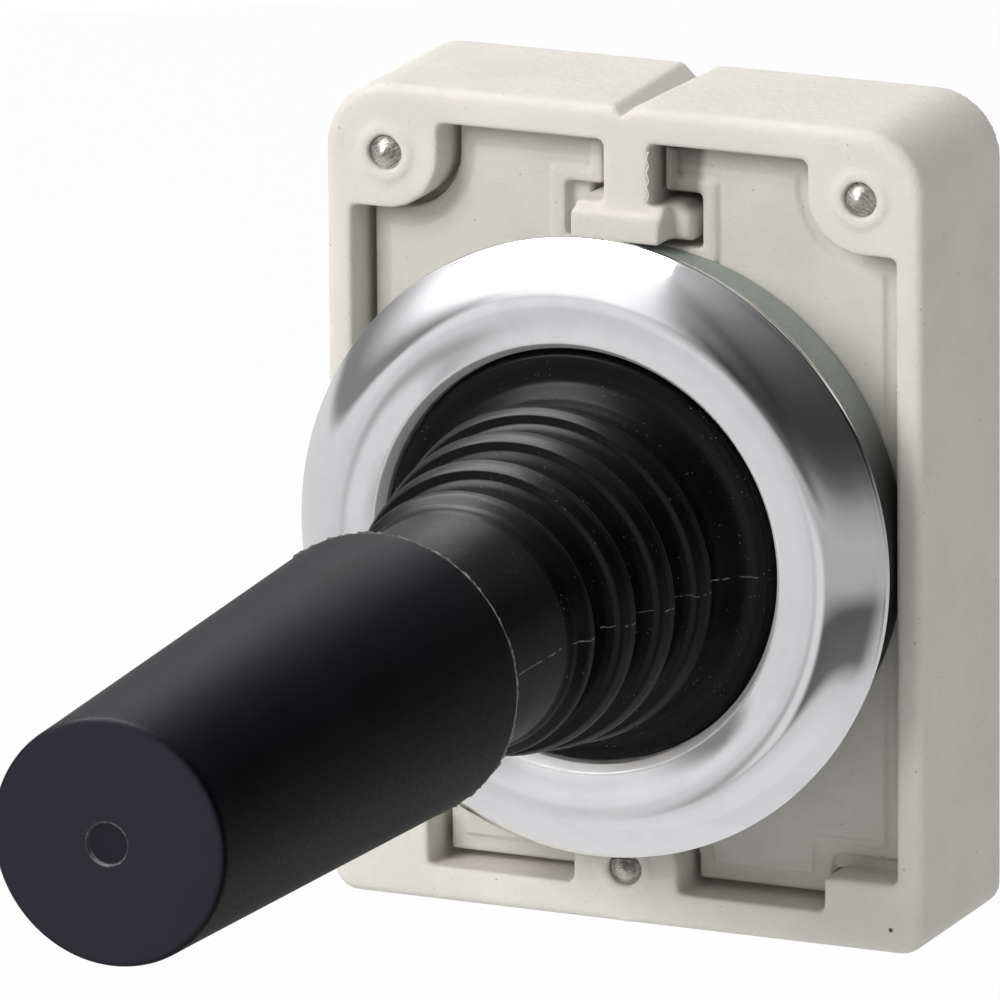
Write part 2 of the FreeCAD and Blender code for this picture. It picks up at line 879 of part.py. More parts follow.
# Clamp screw: pointed tip at the front, body, and a slotted head inside the boss
def clamp_screw(x, z):
    tip_y = adapter_front_y + screw_tip_recess
    cone_y = tip_y + screw_cone_height
    body_y = tip_y + screw_tip_length
    head_y = body_y + screw_body_length
    head_rear_y = head_y + screw_head_thickness
    screw = turned(
        *corners(
            (0, tip_y),
            (screw_tip_r, cone_y),
            (screw_tip_r, body_y),
            (screw_body_r, body_y),
            (screw_body_r, head_y),
            (screw_head_r, head_y),
            (screw_head_r, head_rear_y),
            (0, head_rear_y),
        )
    )
    slot = block(
        -screw_head_r,
        screw_head_r,
        head_rear_y - screw_slot_depth,
        head_rear_y,
        -screw_slot_width / 2,
        screw_slot_width / 2,
    )
    screw = screw.cut(slot)
    screw.translate(FreeCAD.Vector(x, 0, z))
    return screw


os.makedirs("parts", exist_ok=True)
save("front_ring", front_ring())
save("housing", housing())
save("seal_ring", seal_ring())
save("boot", boot())
save("handle", handle())
save("lever_shaft", lever_shaft())
save("cross_pin", cross_pin())
save("gimbal_ring", gimbal_ring())
save("trunnion_pin_left", trunnion_pin(-1))
save("trunnion_pin_right", trunnion_pin(1))
save("rocker", rocker())
save("rocker_circlip", rocker_circlip())
save("plunger_carrier", plunger_carrier())
for name, (x, z) in directions.items():
    save(f"plunger_{name}", plunger(x * arm_radius, z * arm_radius))
    save(f"return_spring_{name}", return_spring(x * arm_radius, z * arm_radius))
save("adapter_frame", adapter_frame())
save("adapter_plate", adapter_plate())
save("lock_plate", lock_plate())
for name, (x, z) in screw_places.items():
    save(f"clamp_screw_{name}", clamp_screw(x, z))
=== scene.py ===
import bpy
import math
import time
from mathutils import Matrix, Vector


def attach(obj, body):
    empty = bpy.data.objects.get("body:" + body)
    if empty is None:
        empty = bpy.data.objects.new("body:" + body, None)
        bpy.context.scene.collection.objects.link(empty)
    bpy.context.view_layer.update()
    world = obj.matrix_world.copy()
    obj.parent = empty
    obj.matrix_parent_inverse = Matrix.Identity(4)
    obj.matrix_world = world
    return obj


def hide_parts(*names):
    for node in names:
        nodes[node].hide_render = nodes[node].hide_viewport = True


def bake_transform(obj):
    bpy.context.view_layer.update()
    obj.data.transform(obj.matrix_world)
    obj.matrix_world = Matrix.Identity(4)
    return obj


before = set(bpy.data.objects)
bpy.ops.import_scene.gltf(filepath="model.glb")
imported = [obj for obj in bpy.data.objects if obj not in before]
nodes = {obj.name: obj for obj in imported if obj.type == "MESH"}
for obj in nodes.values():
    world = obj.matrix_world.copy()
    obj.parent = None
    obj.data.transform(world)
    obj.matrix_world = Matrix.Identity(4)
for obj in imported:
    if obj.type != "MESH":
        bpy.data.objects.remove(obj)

mm = 0.001
shortestStep = 1e-6  # mm
mergeWithin = 1e-7  # m
scene = bpy.context.scene
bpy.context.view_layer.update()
started = time.perf_counter()


def report(stage):
    print(f"{time.perf_counter() - started:6.1f} s  {stage}")


report(f"frame loaded: {len(nodes)} solids")


def dropSelection():
    if bpy.context.object and bpy.context.object.mode != "OBJECT":
        bpy.ops.object.mode_set(mode="OBJECT")
    bpy.ops.object.select_all(action="DESELECT")


def take(piece):
    dropSelection()
    piece.select_set(True)
    bpy.context.view_layer.objects.active = piece


def settle(piece):  # the place goes into the mesh
    take(piece)
    bpy.ops.object.transform_apply(location=True, rotation=True, scale=True)
    return piece


def pick(piece, kind, test):  # selects edges or vertices by their place, in millimetres
    take(piece)
    mesh = piece.data
    bpy.context.tool_settings.mesh_select_mode = (kind == "VERT", kind == "EDGE", False)
    bpy.ops.object.mode_set(mode="EDIT")
    bpy.ops.mesh.select_all(action="DESELECT")
    bpy.ops.object.mode_set(mode="OBJECT")
    found = 0
    if kind == "EDGE":
        for edge in mesh.edges:
            a, b = (mesh.vertices[i].co / mm for i in edge.vertices)
            edge.select = bool(test((a + b) / 2, b - a))
            found += edge.select
    else:
        for vertex in mesh.vertices:
            vertex.select = bool(test(vertex.co / mm, vertex.normal))
            found += vertex.select
    bpy.ops.object.mode_set(mode="EDIT")
    return found


def leaveEdit():
    bpy.ops.object.mode_set(mode="OBJECT")


def apply(piece, kind, **settings):
    take(piece)
    modifier = piece.modifiers.new(kind.title(), kind)
    for key, value in settings.items():
        setattr(modifier, key, value)
    bpy.ops.object.modifier_apply(modifier=modifier.name)
    return piece


def slab(name, x, y, z):  # x, y and z are (low, high) in millimetres
    dropSelection()
    middle = [sum(pair) / 2 * mm for pair in (x, y, z)]
    size = [(pair[1] - pair[0]) * mm for pair in (x, y, z)]
    bpy.ops.mesh.primitive_cube_add(size=1, location=middle, scale=size)
    bpy.context.object.name = name
    return settle(bpy.context.object)


def peg(name, radius, y, x=0.0, z=0.0, sides=64):
    dropSelection()
    bpy.ops.mesh.primitive_cylinder_add(
        vertices=sides, radius=radius * mm, depth=(y[1] - y[0]) * mm,
        location=(x * mm, (y[0] + y[1]) / 2 * mm, z * mm), rotation=(math.pi / 2, 0, 0))
    bpy.context.object.name = name
    return settle(bpy.context.object)


def roundOff(piece, test, radius, segments):
    if pick(piece, "EDGE", test):
        bpy.ops.mesh.bevel(offset=radius * mm, segments=segments, affect="EDGES")
    leaveEdit()
    return piece


def cutAway(piece, *cutters):
    for cutter in cutters:
        apply(piece, "BOOLEAN", operation="DIFFERENCE", object=cutter, solver="EXACT", use_self=True)
        bpy.data.objects.remove(cutter)
    return piece


def gather(piece, *parts):  # one mesh of several, left overlapping
    dropSelection()
    for part in parts:
        part.select_set(True)
    piece.select_set(True)
    bpy.context.view_layer.objects.active = piece
    bpy.ops.object.join()
    return piece


def soften(piece, voxel, rounds, triangles):  # cast or moulded edges: one skin, eased, and thinned again
    apply(piece, "REMESH", mode="VOXEL", voxel_size=voxel * mm, adaptivity=0)
    apply(piece, "SMOOTH", factor=0.5, iterations=rounds)
    count = sum(len(face.vertices) - 2 for face in piece.data.polygons)
    if count > triangles:
        apply(piece, "DECIMATE", ratio=triangles / count)
    take(piece)
    bpy.ops.object.shade_smooth()
    return piece


def cornerPath(corners, pieces=6):  # (radius, y, rounding) corners to a smooth line of points
    nearlyHalf = 0.48  # of a side, so that two roundings don't meet
    path = []
    for i, corner in enumerate(corners):
        here = Vector(corner[:2])
        rounding = corner[2] if len(corner) > 2 else 0
        if rounding == 0 or i in (0, len(corners) - 1):
            path.append(here)
            continue
        before = Vector(corners[i - 1][:2]) - here
        after = Vector(corners[i + 1][:2]) - here
        half = before.angle(after) / 2
        reach = min(rounding / math.tan(half), before.length * nearlyHalf, after.length * nearlyHalf)
        start = here + before.normalized() * reach
        end = here + after.normalized() * reach
        for k in range(pieces + 1):
            t = k / pieces
            path.append((1 - t) ** 2 * start + 2 * t * (1 - t) * here + t ** 2 * end)
    return path


def lathe(name, path, steps=160, angle=30):  # spins a line of (radius, y) points about the lever's axis
    dropSelection()
    path = [Vector(point) for point in path]
    bpy.ops.mesh.primitive_plane_add(size=mm, location=(0, 0, 0))
    piece = bpy.context.object
    piece.name = name
    bpy.context.tool_settings.mesh_select_mode = (True, False, False)
    bpy.ops.object.mode_set(mode="EDIT")
    bpy.ops.mesh.select_all(action="SELECT")
    bpy.ops.mesh.merge(type="CENTER")
    bpy.ops.transform.translate(value=(path[0].x * mm, path[0].y * mm, 0))
    for a, b in zip(path, path[1:]):
        if (b - a).length > shortestStep:
            step = ((b.x - a.x) * mm, (b.y - a.y) * mm, 0)
            bpy.ops.mesh.extrude_region_move(TRANSFORM_OT_translate={"value": step})
    bpy.ops.mesh.select_all(action="SELECT")
    bpy.ops.mesh.remove_doubles(threshold=mergeWithin)
    bpy.ops.mesh.select_all(action="SELECT")
    bpy.ops.mesh.spin(steps=steps, angle=2 * math.pi, center=(0, 0, 0), axis=(0, 1, 0))
    bpy.ops.mesh.select_all(action="SELECT")
    bpy.ops.mesh.remove_doubles(threshold=mergeWithin)
    bpy.ops.mesh.normals_make_consistent(inside=False)
    bpy.ops.object.mode_set(mode="OBJECT")
    bpy.ops.object.shade_smooth_by_angle(angle=math.radians(angle))
    return piece


def place(piece, x, z):
    take(piece)
    piece.location = (x * mm, 0, z * mm)
    return settle(piece)


def paintWith(piece, material, body):
    piece.data.materials.clear()
    piece.data.materials.append(material)
    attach(piece, body)


def tone(*chart):  # a colour as a paint chart gives it, 0 to 255, made linear
    shares = [part / 255 for part in chart]
    return tuple(c / 12.92 if c <= 0.04045 else ((c + 0.055) / 1.055) ** 2.4 for c in shares) + (1.0,)


class Signal:  # one output of a node; sums and products of signals add their Math nodes
    def __init__(self, finish, socket):
        self.finish = finish
        self.socket = socket

    def maths(self, operation, first, second=0.0):
        return self.finish.add("ShaderNodeMath", {"operation": operation}, {0: first, 1: second})

    def __add__(self, other):
        return self.maths("ADD", self, other)

    def __radd__(self, other):
        return self.maths("ADD", other, self)

    def __sub__(self, other):
        return self.maths("SUBTRACT", self, other)

    def __rsub__(self, other):
        return self.maths("SUBTRACT", other, self)

    def __mul__(self, other):
        return self.maths("MULTIPLY", self, other)

    def __rmul__(self, other):
        return self.maths("MULTIPLY", other, self)

    def __truediv__(self, other):
        return self.maths("DIVIDE", self, other)

    def __pow__(self, other):
        return self.maths("POWER", self, other)

    def __abs__(self):
        return self.maths("ABSOLUTE", self)

    def __lt__(self, other):
        return self.maths("LESS_THAN", self, other)


class Finish:  # a material, or the world, and its nodes
    def __init__(self, owner):
        self.owner = owner
        owner.use_nodes = True
        self.tree = owner.node_tree
        self.tree.nodes.clear()

    def add(self, kind, settings=None, inputs=None, output=0):
        node = self.tree.nodes.new(kind)
        for key, value in (settings or {}).items():
            if key == "stops":
                stops = node.color_ramp.elements
                while len(stops) < len(value):
                    stops.new(1.0)
                for stop, (position, colour) in zip(stops, value):
                    stop.position = position
                    stop.color = colour if len(colour) == 4 else (*colour, 1.0)
            else:
                setattr(node, key, value)
        for key, value in (inputs or {}).items():
            if isinstance(value, Signal):
                self.tree.links.new(value.socket, node.inputs[key])
            else:
                node.inputs[key].default_value = value
        return Signal(self, node.outputs[output]) if node.outputs else None

    def spot(self):  # the point's place on the object, in millimetres
        point = self.add("ShaderNodeTexCoord", output="Object")
        return self.add("ShaderNodeVectorMath", {"operation": "SCALE"}, {0: point, "Scale": 1 / mm})

    def axes(self, point):
        return [self.add("ShaderNodeSeparateXYZ", None, {0: point}, output=i) for i in range(3)]

    def noise(self, point, scale, detail=2.0, roughness=0.5, distortion=0.0):
        return self.add("ShaderNodeTexNoise", {"noise_dimensions": "3D"}, {
            "Vector": point, "Scale": scale, "Detail": detail, "Roughness": roughness, "Distortion": distortion})

    def cells(self, point, scale):
        return self.add("ShaderNodeTexVoronoi", {"feature": "F1"}, {
            "Vector": point, "Scale": scale, "Randomness": 1.0})

    def ease(self, value, low, high, start=0.0, end=1.0):  # smooth change between low and high
        return self.add("ShaderNodeMapRange", {"interpolation_type": "SMOOTHSTEP"}, {
            "Value": value, "From Min": low, "From Max": high, "To Min": start, "To Max": end})

    def blendColours(self, share, first, second):
        return self.add("ShaderNodeMix", {"data_type": "RGBA", "blend_type": "MIX"}, {
            0: share, 6: first, 7: second}, output=2)

    def bump(self, height, distance):  # distance in millimetres
        return self.add("ShaderNodeBump", None, {
            "Height": height, "Distance": distance * mm, "Strength": 1.0})

    def surface(self, **inputs):
        named = {key.replace("_", " ").title().replace("Ior", "IOR"): value for key, value in inputs.items()}
        shader = self.add("ShaderNodeBsdfPrincipled", None, named)
        self.add("ShaderNodeOutputMaterial", None, {"Surface": shader})
        return self.owner


def newFinish(name):
    return Finish(bpy.data.materials.new(name))


def castPaint(name, settings):  # matt powder paint over a casting, with orange peel and fine specks
    finish = newFinish(name)
    spot = finish.spot()
    peel = finish.noise(spot, settings["peelScale"], 3.0, 0.55)
    grain = finish.noise(spot, settings["grainScale"], 2.0, 0.6)
    cloud = finish.noise(spot, settings["cloudScale"], 3.0, 0.6)
    speck = finish.ease(finish.cells(spot, settings["speckScale"]), *settings["speckSize"], 1.0, 0.0)
    rare = finish.ease(finish.noise(spot, settings["rareScale"], 1.0), 0.5, 0.68)
    shade = finish.ease(cloud * 0.6 + grain * 0.4, 0.3, 0.7)
    colour = finish.blendColours(shade, settings["low"], settings["high"])
    colour = finish.blendColours(speck * rare * settings["speckShare"], colour, settings["speck"])
    fromPit = finish.add("ShaderNodeVectorMath", {"operation": "DISTANCE"}, {0: spot, 1: settings["pit"]}, output=1)
    colour = finish.blendColours(finish.ease(fromPit, *settings["pitSize"], 1.0, 0.0), colour, settings["speck"])
    x, y, z = finish.axes(spot)
    gapX, gapHalf, gapZ, gapReach = settings["gap"]  # painted shade: the deep gap beside the tongue is darkened where little light reaches
    gap = finish.ease(abs(x - gapX), gapHalf * 0.45, gapHalf, 1.0, 0.0)
    gap = gap * finish.ease(abs(z - gapZ), gapReach * 0.7, gapReach, 1.0, 0.0)
    sootShare = gap * finish.ease(y, *settings["gapDepth"]) * settings["sootShare"]
    return finish.surface(
        base_color=finish.blendColours(sootShare, colour, settings["soot"]),
        roughness=finish.ease(peel, 0.3, 0.7, *settings["rough"]),
        specular_ior_level=settings["gloss"],
        normal=finish.bump(peel * 0.7 + grain * 0.3, settings["bumpDepth"]))


def platedMetal(name, settings):  # bright plating: slow waves, faint smudges; the wall in the hole is satin, pale grey and less metallic, a painted reflection in place of the chrome's mirror
    finish = newFinish(name)
    spot = finish.spot()
    x, y, z = finish.axes(spot)
    radius = (x * x + z * z) ** 0.5
    # painted reflection: the wall in the hole turns pale grey in place of the chrome's mirror
    satin = finish.ease(radius, *settings["satin"], 1.0, 0.0)
    smudge = finish.ease(finish.noise(spot, settings["smudgeScale"], 4.0, 0.62, 0.4), 0.45, 0.72)
    wave = finish.noise(spot, settings["waveScale"], 2.0)
    polish = finish.blendColours(smudge, settings["bright"], settings["dull"])
    return finish.surface(
        base_color=finish.blendColours(satin, polish, settings["wall"]),
        metallic=1 - satin * settings["wallPaint"],
        roughness=finish.ease(smudge, 0.0, 1.0, *settings["rough"]) + satin * settings["wallRough"],
        normal=finish.bump(wave, settings["waveDepth"]))


def mouldedRubber(name, settings):  # satin rubber with dust in its grooves and the mould's parting line
    finish = newFinish(name)
    spot = finish.spot()
    x, y, z = finish.axes(spot)
    grain = finish.noise(spot, settings["grainScale"], 3.0, 0.6)
    cloud = finish.noise(spot, settings["cloudScale"], 3.0, 0.6)
    dustField = finish.ease(finish.noise(spot, 0.55, 2.0, 0.6), 0.44, 0.66)
    dust = finish.ease(finish.cells(spot, settings["dustScale"]), *settings["dustSize"], 1.0, 0.0) * dustField
    wobble = (finish.noise(spot, 2.4, 3.0, 0.7) - 0.5) * settings["seamWobble"]
    seam = finish.ease(abs(z + wobble), settings["seamWidth"] * 0.4, settings["seamWidth"], 1.0, 0.0)
    seam = seam * finish.ease(finish.noise(spot, 1.7, 2.0), 0.42, 0.56)
    # how far a point lies in front of the last ridge; the hundred steps only keep it above zero
    forward = y.maths("MODULO", 100 * settings["ridgeStep"] + settings["firstRidge"] - y, settings["ridgeStep"])
    bands = finish.ease(forward, *settings["bandEnd"], 1.0, 0.0) + finish.ease(forward, *settings["nextRim"])
    lip = finish.ease(y, *settings["lip"])
    lipBack = finish.ease(y, *settings["lipBack"])
    neck = finish.ease(y, *settings["neck"], 1.0, 0.0)
    lipShare, lipBackShare = settings["lipSheen"]
    shiny = bands * (1 - lip) * (1 - neck) + lip * lipShare + neck + lipBackShare * lipBack
    sheen = settings["hollowSheen"] + (1 - settings["hollowSheen"]) * shiny
    colour = finish.blendColours(finish.ease(cloud, 0.35, 0.7), settings["deep"], settings["light"])
    colour = finish.blendColours(dust * settings["dustShare"], colour, settings["dust"])
    colour = finish.blendColours(seam * settings["seamShare"], colour, settings["seam"])
    return finish.surface(
        base_color=colour,
        roughness=finish.ease(cloud * 0.5 + grain * 0.5, 0.3, 0.7, *settings["rough"]),
        specular_ior_level=settings["baseGloss"],
        coat_weight=sheen * settings["gloss"], coat_roughness=settings["coatRough"],
        normal=finish.bump(grain * 0.12 + dust * 0.6 + seam * 2.0, settings["bumpDepth"]))


def mouldedPlastic(name, settings):  # matt plastic with a fine even grain; a gate mark may keep its torn burr
    finish = newFinish(name)
    spot = finish.spot()
    grain = finish.noise(spot, settings["grainScale"], 2.0, 0.65)
    cloud = finish.noise(spot, 0.3, 3.0, 0.55)
    fleckField = finish.ease(finish.noise(spot, 0.6), 0.52, 0.66)
    fleck = finish.ease(finish.cells(spot, 2.2), 0.02, 0.09, 1.0, 0.0) * fleckField
    mottle = finish.ease(cloud * 0.4 + grain * 0.6, 0.32, 0.68)
    colour = finish.blendColours(mottle, settings["deep"], settings["light"])
    colour = finish.blendColours(fleck * settings["fleckShare"], colour, settings["fleck"])
    if "shade" in settings:  # darker towards the lower right, where little light gets behind the ring
        x, y, z = finish.axes(spot)
        shade = finish.ease(z - settings["shadeLean"] * x, *settings["shade"], 0.0)
        colour = finish.blendColours(shade, colour, settings["shadeColour"])
    if "burr" in settings:
        x, y, z = finish.axes(spot)
        radius = (x * x + z * z) ** 0.5
        burrRadius, burrWidth, burrFront = settings["burr"]
        ring = finish.ease(abs(radius - burrRadius), 0.0, burrWidth, 1.0, 0.0) * (y < burrFront)
        torn = finish.ease(finish.noise(spot, 1.1, 3.0, 0.7), 0.47, 0.56)
        # painted light: the end face is painted lighter than the side, for the light that falls on it
        colour = finish.blendColours(finish.ease(y, *settings["end"], 0.0), colour, settings["paintedEndLight"])
        colour = finish.blendColours(ring * (0.2 + 0.8 * torn), colour, settings["burrColour"])
    return finish.surface(
        base_color=colour,
        roughness=finish.ease(grain, 0.3, 0.7, *settings["rough"]),
        specular_ior_level=settings["gloss"],
        normal=finish.bump(grain, settings["bumpDepth"]))


def turnedMetal(name, settings):  # machined metal: rings left by the tool round the lever's axis
    finish = newFinish(name)
    spot = finish.spot()
    x, y, z = finish.axes(spot)
    radius = (x * x + z * z) ** 0.5
    lines = finish.add("ShaderNodeCombineXYZ", None, {0: radius, 1: y})
    ring = finish.noise(lines, settings["ringScale"], 2.0, 0.6)
    cloud = finish.noise(spot, 0.6, 3.0, 0.6)
    streaks = finish.ease(cloud * 0.5 + ring * 0.5, 0.3, 0.7)
    return finish.surface(
        base_color=finish.blendColours(streaks, settings["deep"], settings["light"]),
        metallic=settings.get("metallic", 1.0),
        roughness=finish.ease(ring, 0.3, 0.7, *settings["rough"]),
        normal=finish.bump(ring, settings["bumpDepth"]))


# the gap colour is a painted shade for the deep gap beside the tongue
castFinish = {
    "speck": tone(84, 78, 74), "soot": tone(92, 88, 82), "peelScale": 2.6, "grainScale": 9.0, "cloudScale": 0.22,
    "speckScale": 1.6, "rareScale": 0.9, "speckSize": (0.05, 0.12), "speckShare": 0.5, "pitSize": (0.07, 0.15),
    "gapDepth": (-1.5, -0.3), "sootShare": 0.75, "rough": (0.5, 0.68), "gloss": 0.2, "bumpDepth": 0.05}
adapterPaint = castPaint("adapterPaint", castFinish | {
    "low": tone(218, 214, 208), "high": tone(228, 224, 217), "pit": (13.5, -1.66, -17.9), "gap": (2.3, 1.3, 17.2, 2.2)})
# painted shade: the plate's paint is a darker copy of the frame's, for the shade in its recess
platePaint = castPaint("platePaint", castFinish | {
    "low": tone(206, 203, 197), "high": tone(217, 214, 208), "pit": (-7.2, 1.2, -15.2), "gap": (2.6, 1.1, 17.0, 2.0)})
# the wall colour is a painted reflection on the wall in the ring's hole
ringChrome = platedMetal("ringChrome", {
    "bright": (0.86, 0.86, 0.88, 1), "dull": (0.82, 0.82, 0.84, 1), "rough": (0.07, 0.13), "smudgeScale": 0.35,
    "waveScale": 0.5, "waveDepth": 0.003, "wall": (0.8, 0.8, 0.81, 1), "satin": (10.25, 10.45), "wallPaint": 0.85,
    "wallRough": 0.35})
sealRubber = mouldedPlastic("sealRubber", {
    "deep": tone(146, 153, 149), "light": tone(170, 176, 171), "fleck": tone(205, 204, 198), "fleckShare": 0.4,
    "shade": (-3.0, 5.0, 0.9), "shadeLean": 0.4, "shadeColour": tone(40, 40, 36),
    "grainScale": 6.0, "rough": (0.45, 0.6), "gloss": 0.4, "bumpDepth": 0.01})
bootRubber = mouldedRubber("bootRubber", {
    "deep": tone(3, 2, 3), "light": tone(9, 7, 9), "dust": tone(150, 142, 138), "seam": tone(122, 116, 108),
    "grainScale": 7.0, "cloudScale": 0.7, "dustScale": 3.4, "dustSize": (0.03, 0.15), "dustShare": 0.75,
    "seamWidth": 0.05, "seamWobble": 0.28, "seamShare": 0.9,
    "firstRidge": -9.87, "ridgeStep": 3.12, "bandEnd": (1.1, 1.35), "nextRim": (2.95, 3.05),
    "lip": (-8.4, -7.2), "lipBack": (-7.1, -6.9), "lipSheen": (0.6, 0.4), "neck": (-21.0, -20.4), "hollowSheen": 0.05,
    "rough": (0.5, 0.7), "baseGloss": 0.05, "gloss": 0.27, "coatRough": 0.32, "bumpDepth": 0.03})
# the end colour is painted light on the handle's end face
handlePlastic = mouldedPlastic("handlePlastic", {
    "deep": tone(3, 2, 6), "light": tone(12, 10, 16), "fleck": tone(52, 48, 52), "fleckShare": 0.5,
    "grainScale": 8.0, "rough": (0.42, 0.55), "gloss": 0.09, "bumpDepth": 0.006,
    "burr": (0.98, 0.1, -57.9), "burrColour": tone(120, 118, 118),
    "end": (-58.0, -57.85, 0.85), "paintedEndLight": tone(46, 45, 53)})
housingPlastic = mouldedPlastic("housingPlastic", {
    "deep": tone(30, 30, 32), "light": tone(44, 44, 46), "fleck": tone(90, 90, 90), "fleckShare": 0.3,
    "grainScale": 6.0, "rough": (0.42, 0.6), "gloss": 0.45, "bumpDepth": 0.012})
carrierPlastic = mouldedPlastic("carrierPlastic", {
    "deep": tone(118, 120, 122), "light": tone(140, 142, 144), "fleck": tone(180, 180, 180), "fleckShare": 0.3,
    "grainScale": 6.0, "rough": (0.4, 0.56), "gloss": 0.45, "bumpDepth": 0.01})
plungerPlastic = mouldedPlastic("plungerPlastic", {
    "deep": tone(226, 224, 216), "light": tone(238, 236, 230), "fleck": tone(180, 178, 170), "fleckShare": 0.3,
    "grainScale": 6.0, "rough": (0.32, 0.46), "gloss": 0.5, "bumpDepth": 0.008})
screwSteel = turnedMetal("screwSteel", {
    "deep": tone(112, 108, 102), "light": tone(236, 234, 228), "metallic": 0.7,
    "ringScale": 9.0, "rough": (0.28, 0.45), "bumpDepth": 0.05})
shaftSteel = turnedMetal("shaftSteel", {
    "deep": tone(150, 150, 152), "light": tone(200, 200, 202), "ringScale": 6.0,
    "rough": (0.22, 0.4), "bumpDepth": 0.01})
gimbalBrass = turnedMetal("gimbalBrass", {
    "deep": tone(170, 138, 78), "light": tone(206, 176, 110), "ringScale": 5.0,
    "rough": (0.24, 0.42), "bumpDepth": 0.01})
lockSteel = turnedMetal("lockSteel", {
    "deep": tone(158, 160, 164), "light": tone(194, 196, 200), "ringScale": 2.0,
    "rough": (0.3, 0.48), "bumpDepth": 0.01})
flashPlastic = mouldedPlastic("flashPlastic", {
    "deep": tone(60, 56, 54), "light": tone(168, 160, 150), "fleck": tone(190, 184, 174), "fleckShare": 0.5,
    "grainScale": 3.0, "rough": (0.5, 0.7), "gloss": 0.4, "bumpDepth": 0.02})
report("materials made")


ringShape = {
    "edge": (14.85, -4.95), "shoulder": (14.8, -5.28), "shoulderLean": 60, "shoulderPull": 3.1,
    "brow": (10.42, -7.22), "browLean": 17, "browPull": 1.7, "aperture": (9.92, -6.36), "lip": -5.94,
    "recess": 11.35, "spigot": (11.7, 12.5, -3.65)}


def curvePath(start, startPull, endPull, end, pieces):  # a curve between two points, each with its handle
    points = [Vector(point) for point in (start, startPull, endPull, end)]
    path = []
    for i in range(pieces + 1):
        t = i / pieces
        weights = ((1 - t) ** 3, 3 * t * (1 - t) ** 2, 3 * t * t * (1 - t), t ** 3)
        path.append(sum((w * q for w, q in zip(weights, points)), Vector((0, 0))))
    return path


def frontRing(s):
    shoulder, brow = Vector(s["shoulder"]), Vector(s["brow"])
    lean, browLean = math.radians(s["shoulderLean"]), math.radians(s["browLean"])
    dome = curvePath(shoulder, shoulder - s["shoulderPull"] * Vector((math.cos(lean), math.sin(lean))),
                     brow + s["browPull"] * Vector((math.cos(browLean), -math.sin(browLean))), brow, 64)
    apertureR, apertureY = s["aperture"]
    inner, outer, rear = s["spigot"]
    edgeR, edgeY = s["edge"]
    path = [(edgeR, edgeY), (edgeR, shoulder.y + 0.1), (edgeR - 0.015, shoulder.y + 0.05)] + dome
    path += cornerPath([
        brow, (brow.x - 0.16, brow.y + 0.05, 0.14), (apertureR + 0.02, apertureY - 0.3, 0.2),
        (apertureR, apertureY), (apertureR - 0.02, s["lip"], 0.05), (s["recess"], s["lip"], 0.1),
        (s["recess"], edgeY, 0.1), (inner, edgeY, 0.1), (inner, rear, 0.1), (outer, rear, 0.1),
        (outer, edgeY, 0.1), (edgeR - 0.1, edgeY, 0.05), (edgeR, edgeY)], 6)[1:]
    piece = lathe("frontRingDome", path, steps=192, angle=40)
    paintWith(piece, ringChrome, "operator")
    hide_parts("front_ring")


frontRing(ringShape)
report("front ring")


sealShape = {
    "bore": 11.12, "sleeveInner": 12.95, "outer": 13.6, "waist": 13.56, "waistFrom": -2.4, "waistTo": -0.9,
    "front": -4.75, "washer": -1.2, "rear": -0.1}


def sealRing(s):
    path = cornerPath([
        (s["bore"], s["washer"]), (s["sleeveInner"], s["washer"], 0.1), (s["sleeveInner"], s["front"], 0.12),
        (s["outer"], s["front"], 0.12), (s["waist"], s["waistFrom"], 0.6), (s["waist"], s["waistTo"], 0.3),
        (s["outer"], s["rear"], 0.15), (s["bore"], s["rear"], 0.1), (s["bore"], s["washer"])], 4)
    piece = lathe("sealSleeve", path, steps=160)
    paintWith(piece, sealRubber, "operator")
    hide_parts("seal_ring")


sealRing(sealShape)
report("seal")


bootShape = {
    "ridges": [(8.06, -9.87), (7.56, -12.99), (6.97, -16.11), (6.28, -19.23)],
    "band": (0.27, 1.1), "hollow": (1.15, 1.0), "split": 2, "join": (6.1, 1.6), "joinWall": 0.26,
    "flange": (11.3, -5.0), "lip": (9.77, -5.89), "neck": (5.62, 5.45), "neckEnd": -31.2, "grip": 2.55}


def ridgeCorners(s, i):  # from the hollow behind a ridge over its rim and its rounded band to the bead in front
    radius, y = s["ridges"][i]
    drop, forward = s["band"]
    depth, back = s["hollow"]
    return [
        (radius - depth, y + back, 0.35), (radius - depth * 0.9, y + 0.42, 0.3), (radius - 0.06, y + 0.1, 0.12),
        (radius + 0.02, y - 0.12, 0.16), (radius - 0.03, y - forward * 0.5, 0.5),
        (radius - drop * 0.6, y - forward * 0.85, 0.3), (radius - drop, y - forward - 0.02, 0.12),
        (radius - drop - 0.4, y - forward + 0.12, 0.15)]


